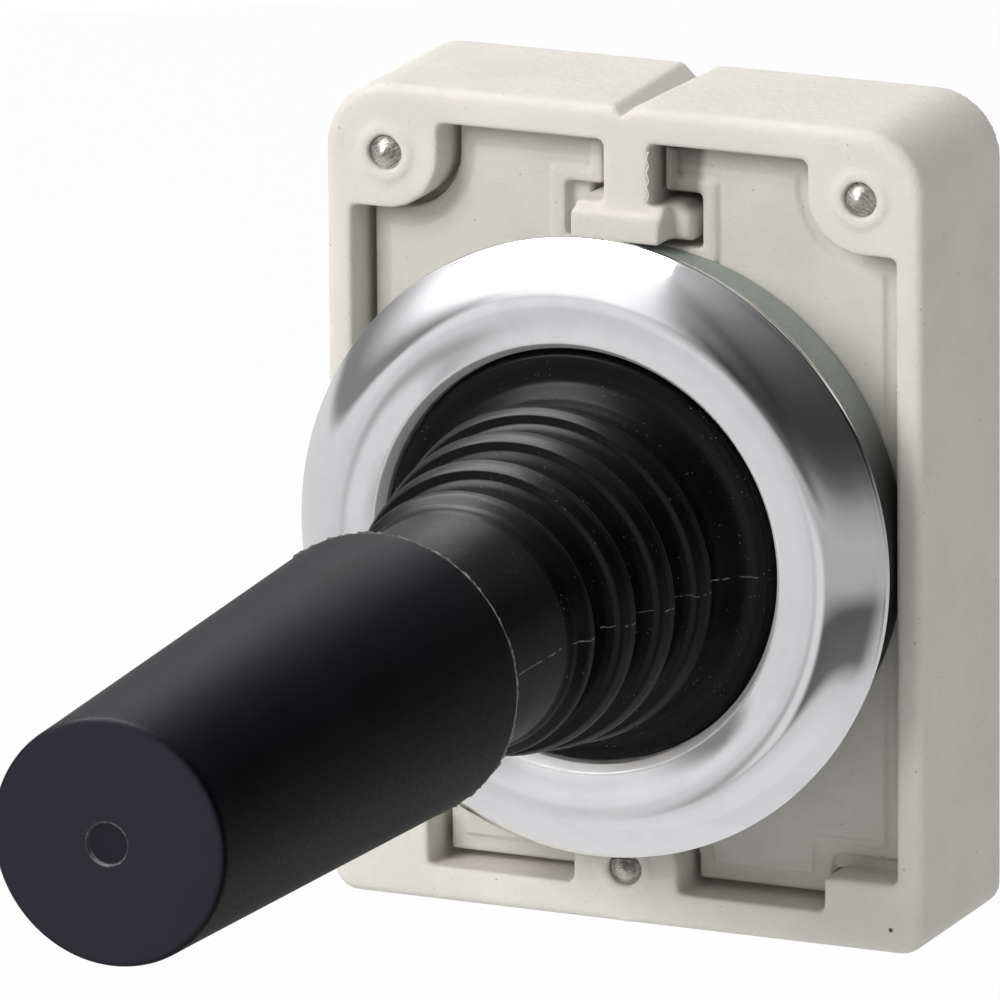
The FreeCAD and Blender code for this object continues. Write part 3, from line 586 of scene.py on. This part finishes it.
def bootHalves(s):
    flangeR, flangeY = s["flange"]
    lipR, lipY = s["lip"]
    outer = [
        (flangeR, flangeY), (flangeR, lipY, 0.1), (lipR, lipY, 0.1), (9.8, -6.3, 0.3), (9.72, -6.9, 0.3),
        (9.1, -6.98, 0.5), (8.5, -6.82, 0.8), (7.75, -7.5, 1.0), (7.15, -8.6, 0.5)]
    for i in range(s["split"]):
        outer += ridgeCorners(s, i)
    joinR, joinY = s["join"][0], s["ridges"][s["split"] - 1][1] - s["join"][1]
    outer.append((joinR + 0.35, joinY + 0.3, 0.2))
    outer.append((joinR, joinY))
    innerR = joinR - s["joinWall"]
    inner = [
        (innerR, joinY), (innerR, joinY + 0.5, 0.3), (5.5, -12.3, 0.5), (5.5, -10.6, 0.5), (6.0, -8.8, 0.6),
        (8.1, -5.9, 0.4), (8.3, flangeY), (flangeR, flangeY)]
    piece = lathe("bootOuterRidges", cornerPath(outer, 7) + cornerPath(inner, 4), steps=144)
    piece.data.materials.append(bootRubber)
    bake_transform(piece)

    front = [(joinR, joinY)]
    for i in range(s["split"], len(s["ridges"])):
        front += ridgeCorners(s, i)
    lastY = s["ridges"][-1][1]
    neckR, neckEndR = s["neck"]
    front = front[:-3]  # the last ridge runs out into the neck
    front += [(5.84, lastY - 0.95, 0.3), (neckR, lastY - 1.7, 0.6), (neckR - 0.01, -23.0, 1.0)]
    front += [
        (neckEndR, s["neckEnd"]), (s["grip"], s["neckEnd"]), (s["grip"], -28.1, 0.2), (4.4, -27.4, 0.5),
        (4.6, -18.3, 1.0), (innerR, joinY - 0.5, 0.3), (innerR, joinY), (joinR, joinY)]
    neck = lathe("bootNeck", cornerPath(front, 7), steps=144)
    neck.data.materials.append(bootRubber)
    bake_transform(neck)
    piece.visible_glossy = neck.visible_glossy = False  # the plating shows the studio only
    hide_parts("boot")
    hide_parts("boot")


bootHalves(bootShape)
report("boot")


handleShape = {
    "tip": (5.67, -58.09), "base": (6.69, -28.93), "edge": 0.8, "cavity": (5.9, -31.5), "bore": (2.54, -52.05),
    "gate": (1.0, 0.15), "flash": 0.12, "flashWaves": (9, 23, 47, 83, 131)}


def handleGrip(s):
    tipR, tipY = s["tip"]
    baseR, baseY = s["base"]
    gateR, gateDepth = s["gate"]
    cavityR, cavityEnd = s["cavity"]
    boreR, boreEnd = s["bore"]
    path = cornerPath([
        (0, tipY + gateDepth), (gateR - 0.05, tipY + gateDepth, 0.04), (gateR, tipY + 0.01, 0.03),
        (gateR + 0.12, tipY + 0.03, 0.05), (3.5, tipY + 0.03), (tipR - 0.02, tipY + 0.12, s["edge"]),
        (tipR, tipY + 0.9, 0.3), (tipR + 0.04, tipY + 2.2, 0.5)], 10)
    taperRings = 12
    for k in range(1, taperRings):
        t = k / taperRings
        path.append(Vector((tipR + 0.04 + (baseR - tipR - 0.04) * t, tipY + 2.2 + (baseY - 0.5 - tipY - 2.2) * t)))
    path += cornerPath([
        (baseR, baseY - 0.5), (baseR, baseY - 0.12), (baseR, baseY, 0.05), (baseR - 0.35, baseY, 0.1),
        (cavityR + 0.1, baseY, 0.1), (cavityR, cavityEnd, 0.3), (boreR, cavityEnd, 0.2), (boreR, boreEnd, 0.1),
        (0, boreEnd)], 5)
    piece = lathe("handleGrip", path, steps=224)
    paintWith(piece, handlePlastic, "lever")
    fin = lathe("handleFlash", [
        (baseR - 0.3, baseY + 0.01), (baseR + 0.03, baseY - 0.01), (baseR + 0.03, baseY + 0.03),
        (baseR - 0.3, baseY + 0.03), (baseR - 0.3, baseY + 0.01)], steps=320)
    for vertex in fin.data.vertices:  # torn edge left by the mould
        if math.hypot(vertex.co.x, vertex.co.z) > (baseR - 0.1) * mm:
            bearing = math.atan2(vertex.co.z, vertex.co.x)
            ragged = sum(math.sin(bearing * k + k * k) for k in s["flashWaves"]) / len(s["flashWaves"])
            stretch = 1 + s["flash"] * (max(ragged, -0.25) + 0.15) / baseR
            vertex.co.x *= stretch
            vertex.co.z *= stretch
    fin.data.materials.append(flashPlastic)
    gather(piece, fin)
    piece.visible_glossy = False  # as the boot
    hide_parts("handle")


handleGrip(handleShape)
report("handle")


shaftShape = {
    "rod": (2.5, -52.0), "hub": (3.6, -5.2, 0.0), "collar": (3.0, 1.0), "spigot": (2.0, 4.1), "groove": (1.6, 2.4, 3.0),
    "tail": (0.7, 7.5), "chamfer": 0.25, "relief": 0.15}


def leverRod(s):
    rodR, frontY = s["rod"]
    hubR, hubFront, hubRear = s["hub"]
    collarR, collarEnd = s["collar"]
    spigotR, spigotEnd = s["spigot"]
    grooveR, grooveFront, grooveRear = s["groove"]
    tailR, tailEnd = s["tail"]
    c, relief = s["chamfer"], s["relief"]
    path = cornerPath([
        (0, frontY), (rodR - c, frontY, 0.05), (rodR, frontY + c, 0.05), (rodR, hubFront - 1.2, 0.1),
        (rodR - relief, hubFront - 0.9, 0.1), (rodR - relief, hubFront, 0.1), (hubR - c, hubFront, 0.05),
        (hubR, hubFront + c, 0.05), (hubR, hubRear - c, 0.05), (hubR - c, hubRear, 0.05),
        (collarR, hubRear, 0.05), (collarR, collarEnd, 0.05), (spigotR, collarEnd, 0.05),
        (spigotR, grooveFront, 0.02), (grooveR, grooveFront, 0.02), (grooveR, grooveRear, 0.02),
        (spigotR, grooveRear, 0.02), (spigotR, spigotEnd - c, 0.05), (spigotR - c, spigotEnd, 0.05),
        (tailR, spigotEnd, 0.1), (tailR, tailEnd - tailR, 0.3), (tailR * 0.4, tailEnd - 0.1, 0.2), (0, tailEnd)], 4)
    piece = lathe("leverRod", path, steps=96)
    paintWith(piece, shaftSteel, "lever")
    piece.visible_glossy = False  # it stands inside the boot, so the plating doesn't show it
    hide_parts("lever_shaft")


leverRod(shaftShape)
report("lever rod")


springShape = {
    "wire": 0.14, "coil": 1.27, "front": 4.66, "rear": 9.14, "turns": 5,
    "places": {"right": (7.1, 0.0), "left": (-7.1, 0.0), "up": (0.0, 7.1), "down": (0.0, -7.1)}}


def coilSpring(s, side, x, z):  # a coil of wire at its rest length
    wire, front, rear, turns = s["wire"], s["front"], s["rear"], s["turns"]
    dropSelection()
    bpy.ops.mesh.primitive_circle_add(vertices=10, radius=wire * mm, location=(s["coil"] * mm, (front + wire) * mm, 0))
    piece = settle(bpy.context.object)
    piece.name = "coilSpring" + side.title()
    pitch = (rear - front - 2 * wire) / turns
    apply(piece, "SCREW", axis="Y", angle=math.tau, iterations=turns, screw_offset=pitch * mm,
          steps=20, render_steps=20, use_merge_vertices=False, use_smooth_shade=True)
    pick(piece, "VERT", lambda p, d: True)
    bpy.ops.mesh.fill_holes(sides=0)
    bpy.ops.mesh.normals_make_consistent(inside=False)
    leaveEdit()
    place(piece, x, z)
    piece.data.materials.append(shaftSteel)
    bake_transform(piece)
    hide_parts("return_spring_" + side)


for springSide, (springX, springZ) in springShape["places"].items():
    coilSpring(springShape, springSide, springX, springZ)
report("return springs")


screwShape = {
    "tip": -1.98, "tipR": 0.86, "cone": 0.46, "bodyY": 3.14, "bodyR": 1.25, "headY": 6.54, "headR": 2.0,
    "headEnd": 7.74, "slot": (0.5, 0.6), "tipTrim": {"left": 0.0, "right": 0.05, "bottom": 0.0},
    "places": {"left": (-12.0, 17.0), "right": (12.0, 17.0), "bottom": (0.0, -16.41)}}


def clampScrew(s, name, x, z):
    tip = s["tip"] + s["tipTrim"][name]
    tipR, cone = s["tipR"], s["cone"]
    path = cornerPath([
        (0, tip), (0.1, tip, 0.08), (tipR - 0.06, tip + cone, 0.12), (tipR, tip + cone + 0.12, 0.1),
        (tipR, s["bodyY"], 0.05), (s["bodyR"], s["bodyY"], 0.1), (s["bodyR"], s["headY"], 0.05),
        (s["headR"], s["headY"], 0.2), (s["headR"], s["headEnd"], 0.3), (0, s["headEnd"])], 4)
    piece = lathe("clampScrew" + name.title(), path, steps=48)
    width, depth = s["slot"]
    cutAway(piece, slab("slotCutter", (-3, 3), (s["headEnd"] - depth, s["headEnd"] + 1), (-width / 2, width / 2)))
    place(piece, x, z)
    bpy.ops.object.shade_smooth_by_angle(angle=math.radians(30))
    paintWith(piece, screwSteel, "clamp_screw_" + name)
    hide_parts("clamp_screw_" + name)


for screwName, (screwX, screwZ) in screwShape["places"].items():
    clampScrew(screwShape, screwName, screwX, screwZ)
report("clamp screws")


castShape = {
    "half": 15.13, "top": 20.26, "bottom": -19.14, "front": -1.66, "rear": 7.89, "upperCorner": 3.2,
    "lowerCorner": 1.3, "edge": 0.55, "opening": (13.77, -17.4, 18.62), "wallIn": 14.4, "floorIn": -18.3,
    "roofIn": 19.0, "boss": 2.65, "bosses": ((-12.0, 17.0), (12.0, 17.0), (0.0, -16.41)), "mouth": (1.32, 0.13),
    "screwHole": ((0.84, 1.64), (1.37, 5.04), (2.12, 7.89)),
    "blockInner": 10.1, "rightBlock": -15.7, "leftBlock": -14.6,
    "tongue": (0.93, 1.2), "tongueSide": 1.3, "foot": (1.95, 3.1, 13.9, 15.75), "footFront": -0.75,
    "ledge": (2.25, 3.95), "sideLedge": (3.4, 4.6), "rail": (5.79, 6.89), "railStep": 6, "railHalf": 2,
    "notch": (0.45, 0.9), "voxel": 0.16, "triangles": 190000}


def draftedBar(name, halves, y, z):  # a bar whose sides spread towards the back
    bar = slab(name, (-halves[1], halves[1]), y, z)
    pick(bar, "VERT", lambda p, n: p.y < y[0] + 0.01)
    bpy.ops.transform.resize(value=(halves[0] / halves[1], 1, 1), center_override=(0, y[0] * mm, 0))
    leaveEdit()
    return bar


def tongueFlash(casting, s):  # thin torn fin of metal along the tongue's right edge
    side, front = s["tongueSide"], s["front"]
    fin = slab("tongueFin", (side - 0.02, side + 0.04), (front - 0.04, front + 0.3), (15.9, 18.3))
    pick(fin, "EDGE", lambda p, d: abs(d.z) > 1)
    bpy.ops.mesh.subdivide(number_cuts=40)
    leaveEdit()
    for vertex in fin.data.vertices:
        if vertex.co.y < (front + 0.1) * mm:
            height = vertex.co.z / mm
            torn = (math.sin(height * 17) + math.sin(height * 41 + 2) + math.sin(height * 71)) / 3
            vertex.co.y -= 0.025 * (torn + 0.3) * mm
            vertex.co.x += (0.05 * math.sin(height * 9) + 0.05) * mm
    gather(casting, fin)


def adapterFrame(s):
    front, rear = s["front"], s["rear"]
    half, low, high = s["opening"]
    wallIn, floorIn, roofIn, boss = s["wallIn"], s["floorIn"], s["roofIn"], s["boss"]
    upperX, upperZ = s["bosses"][1]
    lowerZ = s["bosses"][2][1]
    casting = slab("adapterCasting", (-s["half"], s["half"]), (front, rear), (s["bottom"], s["top"]))
    roundOff(casting, lambda p, d: abs(d.y) > 5 and p.z > 0, s["upperCorner"], 12)
    roundOff(casting, lambda p, d: abs(d.y) > 5 and p.z < 0, s["lowerCorner"], 8)
    roundOff(casting, lambda p, d: abs(p.y - front) < 0.01 and abs(d.y) < 0.01, s["edge"], 5)
    cutAway(casting, slab("openingCutter", (-half, half), (front - 1, rear + 1), (low, high)))
    additions = []

    def addSlab(name, x, y, z):
        additions.append(slab(name, sorted(x), y, z))

    for side in (-1, 1):  # rear faces differ by hundredths, so that no two lie in one plane
        x = side * upperX
        additions.append(peg("boss", boss, (front, rear - 0.05), x, upperZ, 48))
        addSlab("bossToSide", (x, side * 14.2), (front, rear - 0.06), (upperZ - boss, 17.6))
        addSlab("bossToTop", (side * (upperX - boss), side * 12.4), (front, rear - 0.07), (upperZ, 19.2))
        addSlab("bossCorner", (x, side * 13.85), (front, rear - 0.08), (upperZ, 18.75))
    mouthR, mouthRise = s["mouth"]
    for x, z in s["bosses"]:
        additions.append(peg("mouthRim", mouthR, (front - mouthRise, front + 0.5), x, z, 40))
    additions.append(peg("lowerBoss", boss, (front, rear - 0.05), 0, lowerZ, 48))
    addSlab("lowerBossFoot", (-boss, boss), (front, rear - 0.06), (floorIn, lowerZ))
    addSlab("rightBlock", (s["blockInner"], wallIn), (front, rear - 0.08), (floorIn, s["rightBlock"]))
    addSlab("leftBlock", (-wallIn, -s["blockInner"]), (front, rear - 0.08), (floorIn, s["leftBlock"]))
    additions.append(draftedBar("tongue", s["tongue"], (front, 1.04), (14.3, roofIn)))
    addSlab("tongueSide", (0.4, s["tongueSide"]), (front + 0.01, 0.9), (15.3, 18.9))
    footSide, footRoot, footLow, footHigh = s["foot"]
    footBlock = slab("footBlock", (-footRoot + 0.5, footRoot), (s["footFront"], 2.1), (footLow, footHigh))
    roundOff(footBlock, lambda p, d: abs(d.y) > 1 and p.z > footHigh - 0.1, 0.75, 6)
    roundOff(footBlock, lambda p, d: abs(p.y - s["footFront"]) < 0.01 and abs(d.y) < 0.01, 0.4, 4)
    additions.append(footBlock)
    addSlab("footFace", (-footRoot + 0.62, footSide + 0.1), (front - 0.3, 0.2), (footLow, footHigh - 0.55))
    addSlab("footShelf", (-footRoot + 0.75, footSide + 0.2), (front - 0.05, 0.2), (footHigh - 0.8, footHigh - 0.08))
    addSlab("topLedge", (-8, 8), s["ledge"], (17.12, roofIn))
    step, reach = s["railStep"], s["railHalf"]
    for side in (-1, 1):
        addSlab("lowLedge", (side * 2.0, side * 10.6), s["ledge"], (floorIn, -15.9))
        addSlab("sideLedge", (side * 12.17, side * wallIn), s["sideLedge"], (-12, 12))
        addSlab("lowRail", (side * step - reach, side * step + reach), s["rail"], (floorIn, -16.7))
    for column in (-1, 0, 1):
        addSlab("topRail", (column * step - reach, column * step + reach), s["rail"], (17.92, roofIn))
    gather(casting, *additions)
    notchHalf, notchDepth = s["notch"]
    top, middle = s["top"], s["top"] - 0.5
    notch = slab("notchCutter", (-notchHalf, notchHalf), (front - 0.5, rear + 0.5), (top - notchDepth, top + 0.01))
    pick(notch, "VERT", lambda p, n: p.z < middle)
    bpy.ops.transform.resize(value=(0.06, 1, 1), center_override=(0, 0, 0))
    leaveEdit()
    pick(notch, "VERT", lambda p, n: p.z > middle and p.y > 0)
    bpy.ops.transform.resize(value=(2.1, 1, 1), center_override=(0, 0, 0))
    leaveEdit()
    pick(notch, "VERT", lambda p, n: p.z < middle and p.y < 0)
    bpy.ops.transform.translate(value=(0, 0, notchDepth / 2 * mm))
    leaveEdit()
    cutters = [notch]
    (boreR, boreEnd), (bodyR, bodyEnd), (headR, headEnd) = s["screwHole"]
    for x, z in s["bosses"]:
        cutters.append(peg("boreCutter", boreR, (front - 1, boreEnd), x, z, 32))
        cutters.append(peg("bodyCutter", bodyR, (boreEnd - 0.14, bodyEnd), x, z, 32))
        cutters.append(peg("headCutter", headR, (bodyEnd - 0.14, headEnd + 1), x, z, 32))
    cutAway(casting, *cutters)
    soften(casting, s["voxel"], 4, s["triangles"])
    tongueFlash(casting, s)
    paintWith(casting, adapterPaint, "adapter")
    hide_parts("adapter_frame")


adapterFrame(castShape)
report("adapter frame")


plateShape = {
    "gap": 0.38, "border": 0.9, "step": 0.2, "rear": 2.2, "skirt": 0.15, "bore": 11.35, "rim": 0.65, "rimRise": 0.2,
    "pocket": ((9.95, 13.5), (-15.9, -15.08)), "groove": ((9.3, 12.4), (-14.25, -14.02)),
    "key": ((-1.2, 1.2), (10.25, 11.9)), "voxel": 0.14, "triangles": 190000}


def plateLayer(name, grow, y, c):  # the plate's outline, kept clear of what stands in the opening
    half, low, high = c["opening"]
    layer = slab(name, (-half + grow, half - grow), y, (low + grow, high - grow))
    wide = (y[0] - 1, y[1] + 1)
    boss = c["boss"] + grow
    upperX, upperZ = c["bosses"][1]
    lowerZ = c["bosses"][2][1]
    footRoot, footLow, footHigh = c["foot"][1:]
    beside, above, below = 16, 21, -19  # past the opening's walls
    cutters = []

    def clear(name, x, z):
        cutters.append(slab(name, sorted(x), wide, z))

    for side in (-1, 1):
        cutters.append(peg("bossRoom", boss, wide, side * upperX, upperZ, 48))
        clear("sideRoom", (side * upperX, side * beside), (upperZ - boss, above))
        clear("topRoom", (side * (upperX - boss), side * beside), (upperZ, above))
    cutters.append(peg("lowerBossRoom", boss, wide, 0, lowerZ, 48))
    clear("lowerFootRoom", (-boss, boss), (below, lowerZ))
    clear("rightRoom", (c["blockInner"] - grow, beside), (below, c["rightBlock"] + grow))
    clear("leftRoom", (-beside, -c["blockInner"] + grow), (below, c["leftBlock"] + grow))
    clear("tongueRoom", (-c["tongue"][1] - grow, c["tongue"][1] + grow), (footHigh, above))
    clear("footRoom", (-footRoot - grow, footRoot + grow), (footLow - grow, footHigh + grow))
    return cutAway(layer, *cutters)


def adapterPlate(s, c):
    gap, step, rear, rimRise = s["gap"], s["step"], s["rear"], s["rimRise"]
    base = plateLayer("adapterInnerPlate", gap, (step, rear), c)
    centre = plateLayer("plateCentre", gap + s["border"], (0, step + 0.2), c)
    outline = plateLayer("rimOutline", gap, (-rimRise, step + 0.2), c)
    skirt = plateLayer("plateSkirt", -s["skirt"], (rear - 0.7, rear - 0.02), c)
    footRoot, footLow, footHigh = c["foot"][1:]
    tongueHalf, openingTop = c["tongue"][1], c["opening"][2]
    reach = gap + s["rim"]
    rimY = (-rimRise, 0.3)
    rim = slab("rim", (-tongueHalf - reach, tongueHalf + reach), rimY, (footHigh, openingTop - gap))
    rimFoot = slab("rimFoot", (-footRoot - reach, footRoot + reach), rimY, (footLow - reach, footHigh + reach))
    apply(rim, "BOOLEAN", operation="UNION", object=rimFoot, solver="EXACT", use_self=True)
    apply(rim, "BOOLEAN", operation="INTERSECT", object=outline, solver="EXACT")
    for tool in (rimFoot, outline):
        bpy.data.objects.remove(tool)
    gather(base, centre, rim, skirt, slab("pocketFloor", (9.8, 13.6), (0.55, 2.0), (-15.85, -14.8)),
           slab("footGapFloor", (-3.7, -2.4), (0.4, 2.0), (13.3, 16.3)))
    pocketX, pocketZ = s["pocket"]
    grooveX, grooveZ = s["groove"]
    keyX, keyZ = s["key"]
    cutAway(base, peg("boreCutter", s["bore"], (-2, 3), sides=160),
            slab("pocket", pocketX, (-1, 0.55), pocketZ), slab("groove", grooveX, (-1, 0.26), grooveZ))
    gather(base, slab("key", keyX, (0.02, rear - 0.02), keyZ))
    soften(base, s["voxel"], 3, s["triangles"])
    paintWith(base, platePaint, "adapter")
    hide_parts("adapter_plate")


adapterPlate(plateShape, castShape)
report("adapter plate")


for names, finishMaterial in (
        (("housing",), housingPlastic),
        (("cross_pin", "trunnion_pin_left", "trunnion_pin_right", "rocker_circlip"), shaftSteel),
        (("gimbal_ring",), gimbalBrass),
        (("rocker", "plunger_carrier"), carrierPlastic),
        (("plunger_right", "plunger_left", "plunger_up", "plunger_down"), plungerPlastic),
        (("lock_plate",), lockSteel)):
    for nodeName in names:
        for materialSlot in nodes[nodeName].material_slots:
            materialSlot.material = finishMaterial
report("inner solids painted")


studio = {
    "camera": (0.309649, -0.70893, 0.210549), "look": (-0.39365, 0.88133, -0.26135), "roll": -0.434, "lens": 618.262,
    "floorZ": -0.14, "floorRadius": 0.6, "floorTones": (tone(236, 236, 236), tone(230, 230, 230)), "floorGlow": 0.92,
    "floorWhite": 1.02, "ambient": 0.44, "softbox": 10.0, "patternGain": 1.15}

direction = Vector(studio["look"]).normalized()
turn = direction.to_track_quat("-Z", "Y").to_matrix() @ Matrix.Rotation(math.radians(studio["roll"]), 3, "Z")
dropSelection()
bpy.ops.object.camera_add(location=studio["camera"], rotation=turn.to_euler())
camera = bpy.context.object
camera.name = "photoCamera"
camera.data.lens = studio["lens"]
camera.data.sensor_width = 36
camera.data.clip_start = 0.05
camera.data.clip_end = 20
scene.camera = camera

lamps = {
    "keySoftbox": {"place": (-0.5, -0.95, 0.67), "size": (0.6, 0.6), "power": 11.5},
    "topSoftbox": {"place": (0.0, 0.1, 0.9), "size": (0.6, 0.6), "power": 0.9}}
for lampName, lamp in lamps.items():
    aim = (Vector((0, -0.01, 0)) - Vector(lamp["place"])).to_track_quat("-Z", "Y").to_euler()
    bpy.ops.object.light_add(type="AREA", location=lamp["place"], rotation=aim)
    light = bpy.context.object
    light.name = lampName
    light.data.shape = "RECTANGLE"
    light.data.size, light.data.size_y = lamp["size"]
    light.data.energy = lamp["power"]
    light.visible_glossy = False

bpy.ops.mesh.primitive_circle_add(
    vertices=96, radius=studio["floorRadius"], fill_type="NGON", location=(0, 0.1, studio["floorZ"]))
floor = settle(bpy.context.object)
floor.name = "paleFloor"
floorFinish = newFinish("floorPaper")
mottle = floorFinish.noise(floorFinish.spot(), 0.02, 3.0)
paper = floorFinish.add("ShaderNodeBsdfDiffuse", None, {
    "Color": floorFinish.blendColours(mottle, *studio["floorTones"])})
glow = floorFinish.add("ShaderNodeEmission", None, {"Color": (1, 1, 1, 1), "Strength": studio["floorWhite"]})
isCamera = floorFinish.add("ShaderNodeLightPath", output="Is Camera Ray")  # the backdrop is white to the camera
mixed = floorFinish.add("ShaderNodeMixShader", None, {0: isCamera * studio["floorGlow"], 1: paper, 2: glow})
floorFinish.add("ShaderNodeOutputMaterial", None, {"Surface": mixed})
floor.data.materials.append(floorFinish.owner)
floor.visible_glossy = False

world = scene.world or bpy.data.worlds.new("studioWorld")
scene.world = world
sky = Finish(world)
heading = sky.add("ShaderNodeTexCoord", output="Generated")
hx, hy, hz = sky.axes(heading)
height = hz.maths("ARCSINE", hz) * (180 / math.pi)
bearing = sky.add("ShaderNodeMath", {"operation": "ARCTAN2"}, {0: hx, 1: -1.0 * hy}) * (180 / math.pi)


def byHeight(level, stops):  # brightness of the studio's walls by height in degrees
    ramp = [((h + 90) / 180, (v, v, v)) for h, v in stops]
    return sky.add("ShaderNodeValToRGB", {"stops": ramp}, {0: (level + 90) / 180})


# only the plating shows these walls; bearings and heights are in degrees
near = sky.ease(bearing, -44, -33)
farWall = byHeight(height, (
    (-60, 0.66), (-20, 0.62), (-12, 0.6), (-2, 0.64), (2, 0.21), (9, 0.21), (15, 0.37), (21, 0.6), (28, 1.0),
    (90, 1.0)))
nearWall = byHeight(height, (
    (-60, 0.68), (-44, 0.66), (-30, 0.6), (-14, 0.58), (-6, 0.68), (6, 0.72), (13, 0.66), (22, 1.0), (90, 1.0)))
leftWall = farWall * (1 - near) + nearWall * near
leftWall = leftWall + studio["softbox"] * sky.ease(height, 30, 50) * sky.ease(bearing, -40, -20, 1.0, 0.0)
frontDark = sky.ease(bearing, 14, 42, 1.0, 0.0) * sky.ease(height, -4, 2)
rightLow = byHeight(height, (
    (-60, 0.66), (-43, 0.55), (-36, 0.12), (-22, 0.085), (-16, 0.37), (-4, 0.4), (4, 0.3), (11, 0.12), (17, 0.06),
    (25, 0.04)))
rightLow = rightLow * (1 - 0.7 * frontDark)
backLow = byHeight(height, ((-60, 0.62), (-22, 0.5), (-5, 0.3), (8, 0.08), (15, 0.04), (25, 0.035)))
behind = sky.ease(bearing, 88, 106)
overhead = byHeight(height, ((25, 0.0), (35, 0.005), (45, 0.03), (55, 0.07), (65, 0.13), (75, 0.24), (86, 0.42)))
nearFront = sky.ease(bearing, -2, 34, 1.0, 0.0) * sky.ease(height, 5, 60) * 0.28
farCorner = behind * sky.ease(bearing, 150, 175, 1.0, 0.0) * sky.ease(height, 60, 75, 1.0, 0.0)
farCorner = farCorner * sky.ease(height, 0, 12)
rightWall = (rightLow * (1 - behind) + backLow * behind + overhead) * (1 - 0.65 * farCorner) + nearFront
frontPatch = sky.ease(abs(bearing), 4, 17, 1.0, 0.0) * sky.ease(height, -42, -36) * sky.ease(height, -12, -6, 1.0, 0.0)
rightWall = rightWall * (1 - frontPatch) + 0.64 * frontPatch
onLeft = sky.ease(bearing - 0.15 * height, -22, 0, 1.0, 0.0) * sky.ease(bearing, -176, -150)
pattern = (leftWall * onLeft + rightWall * (1 - onLeft)) * studio["patternGain"]
glossy = sky.add("ShaderNodeLightPath", output="Is Glossy Ray")
seen = sky.add("ShaderNodeLightPath", output="Is Camera Ray")
strength = glossy * pattern + (1 - glossy) * (seen + (1 - seen) * studio["ambient"])
background = sky.add("ShaderNodeBackground", None, {"Color": (1, 1, 1, 1), "Strength": strength})
sky.add("ShaderNodeOutputWorld", None, {"Surface": background})

scene.view_settings.view_transform = "Standard"
report("studio")
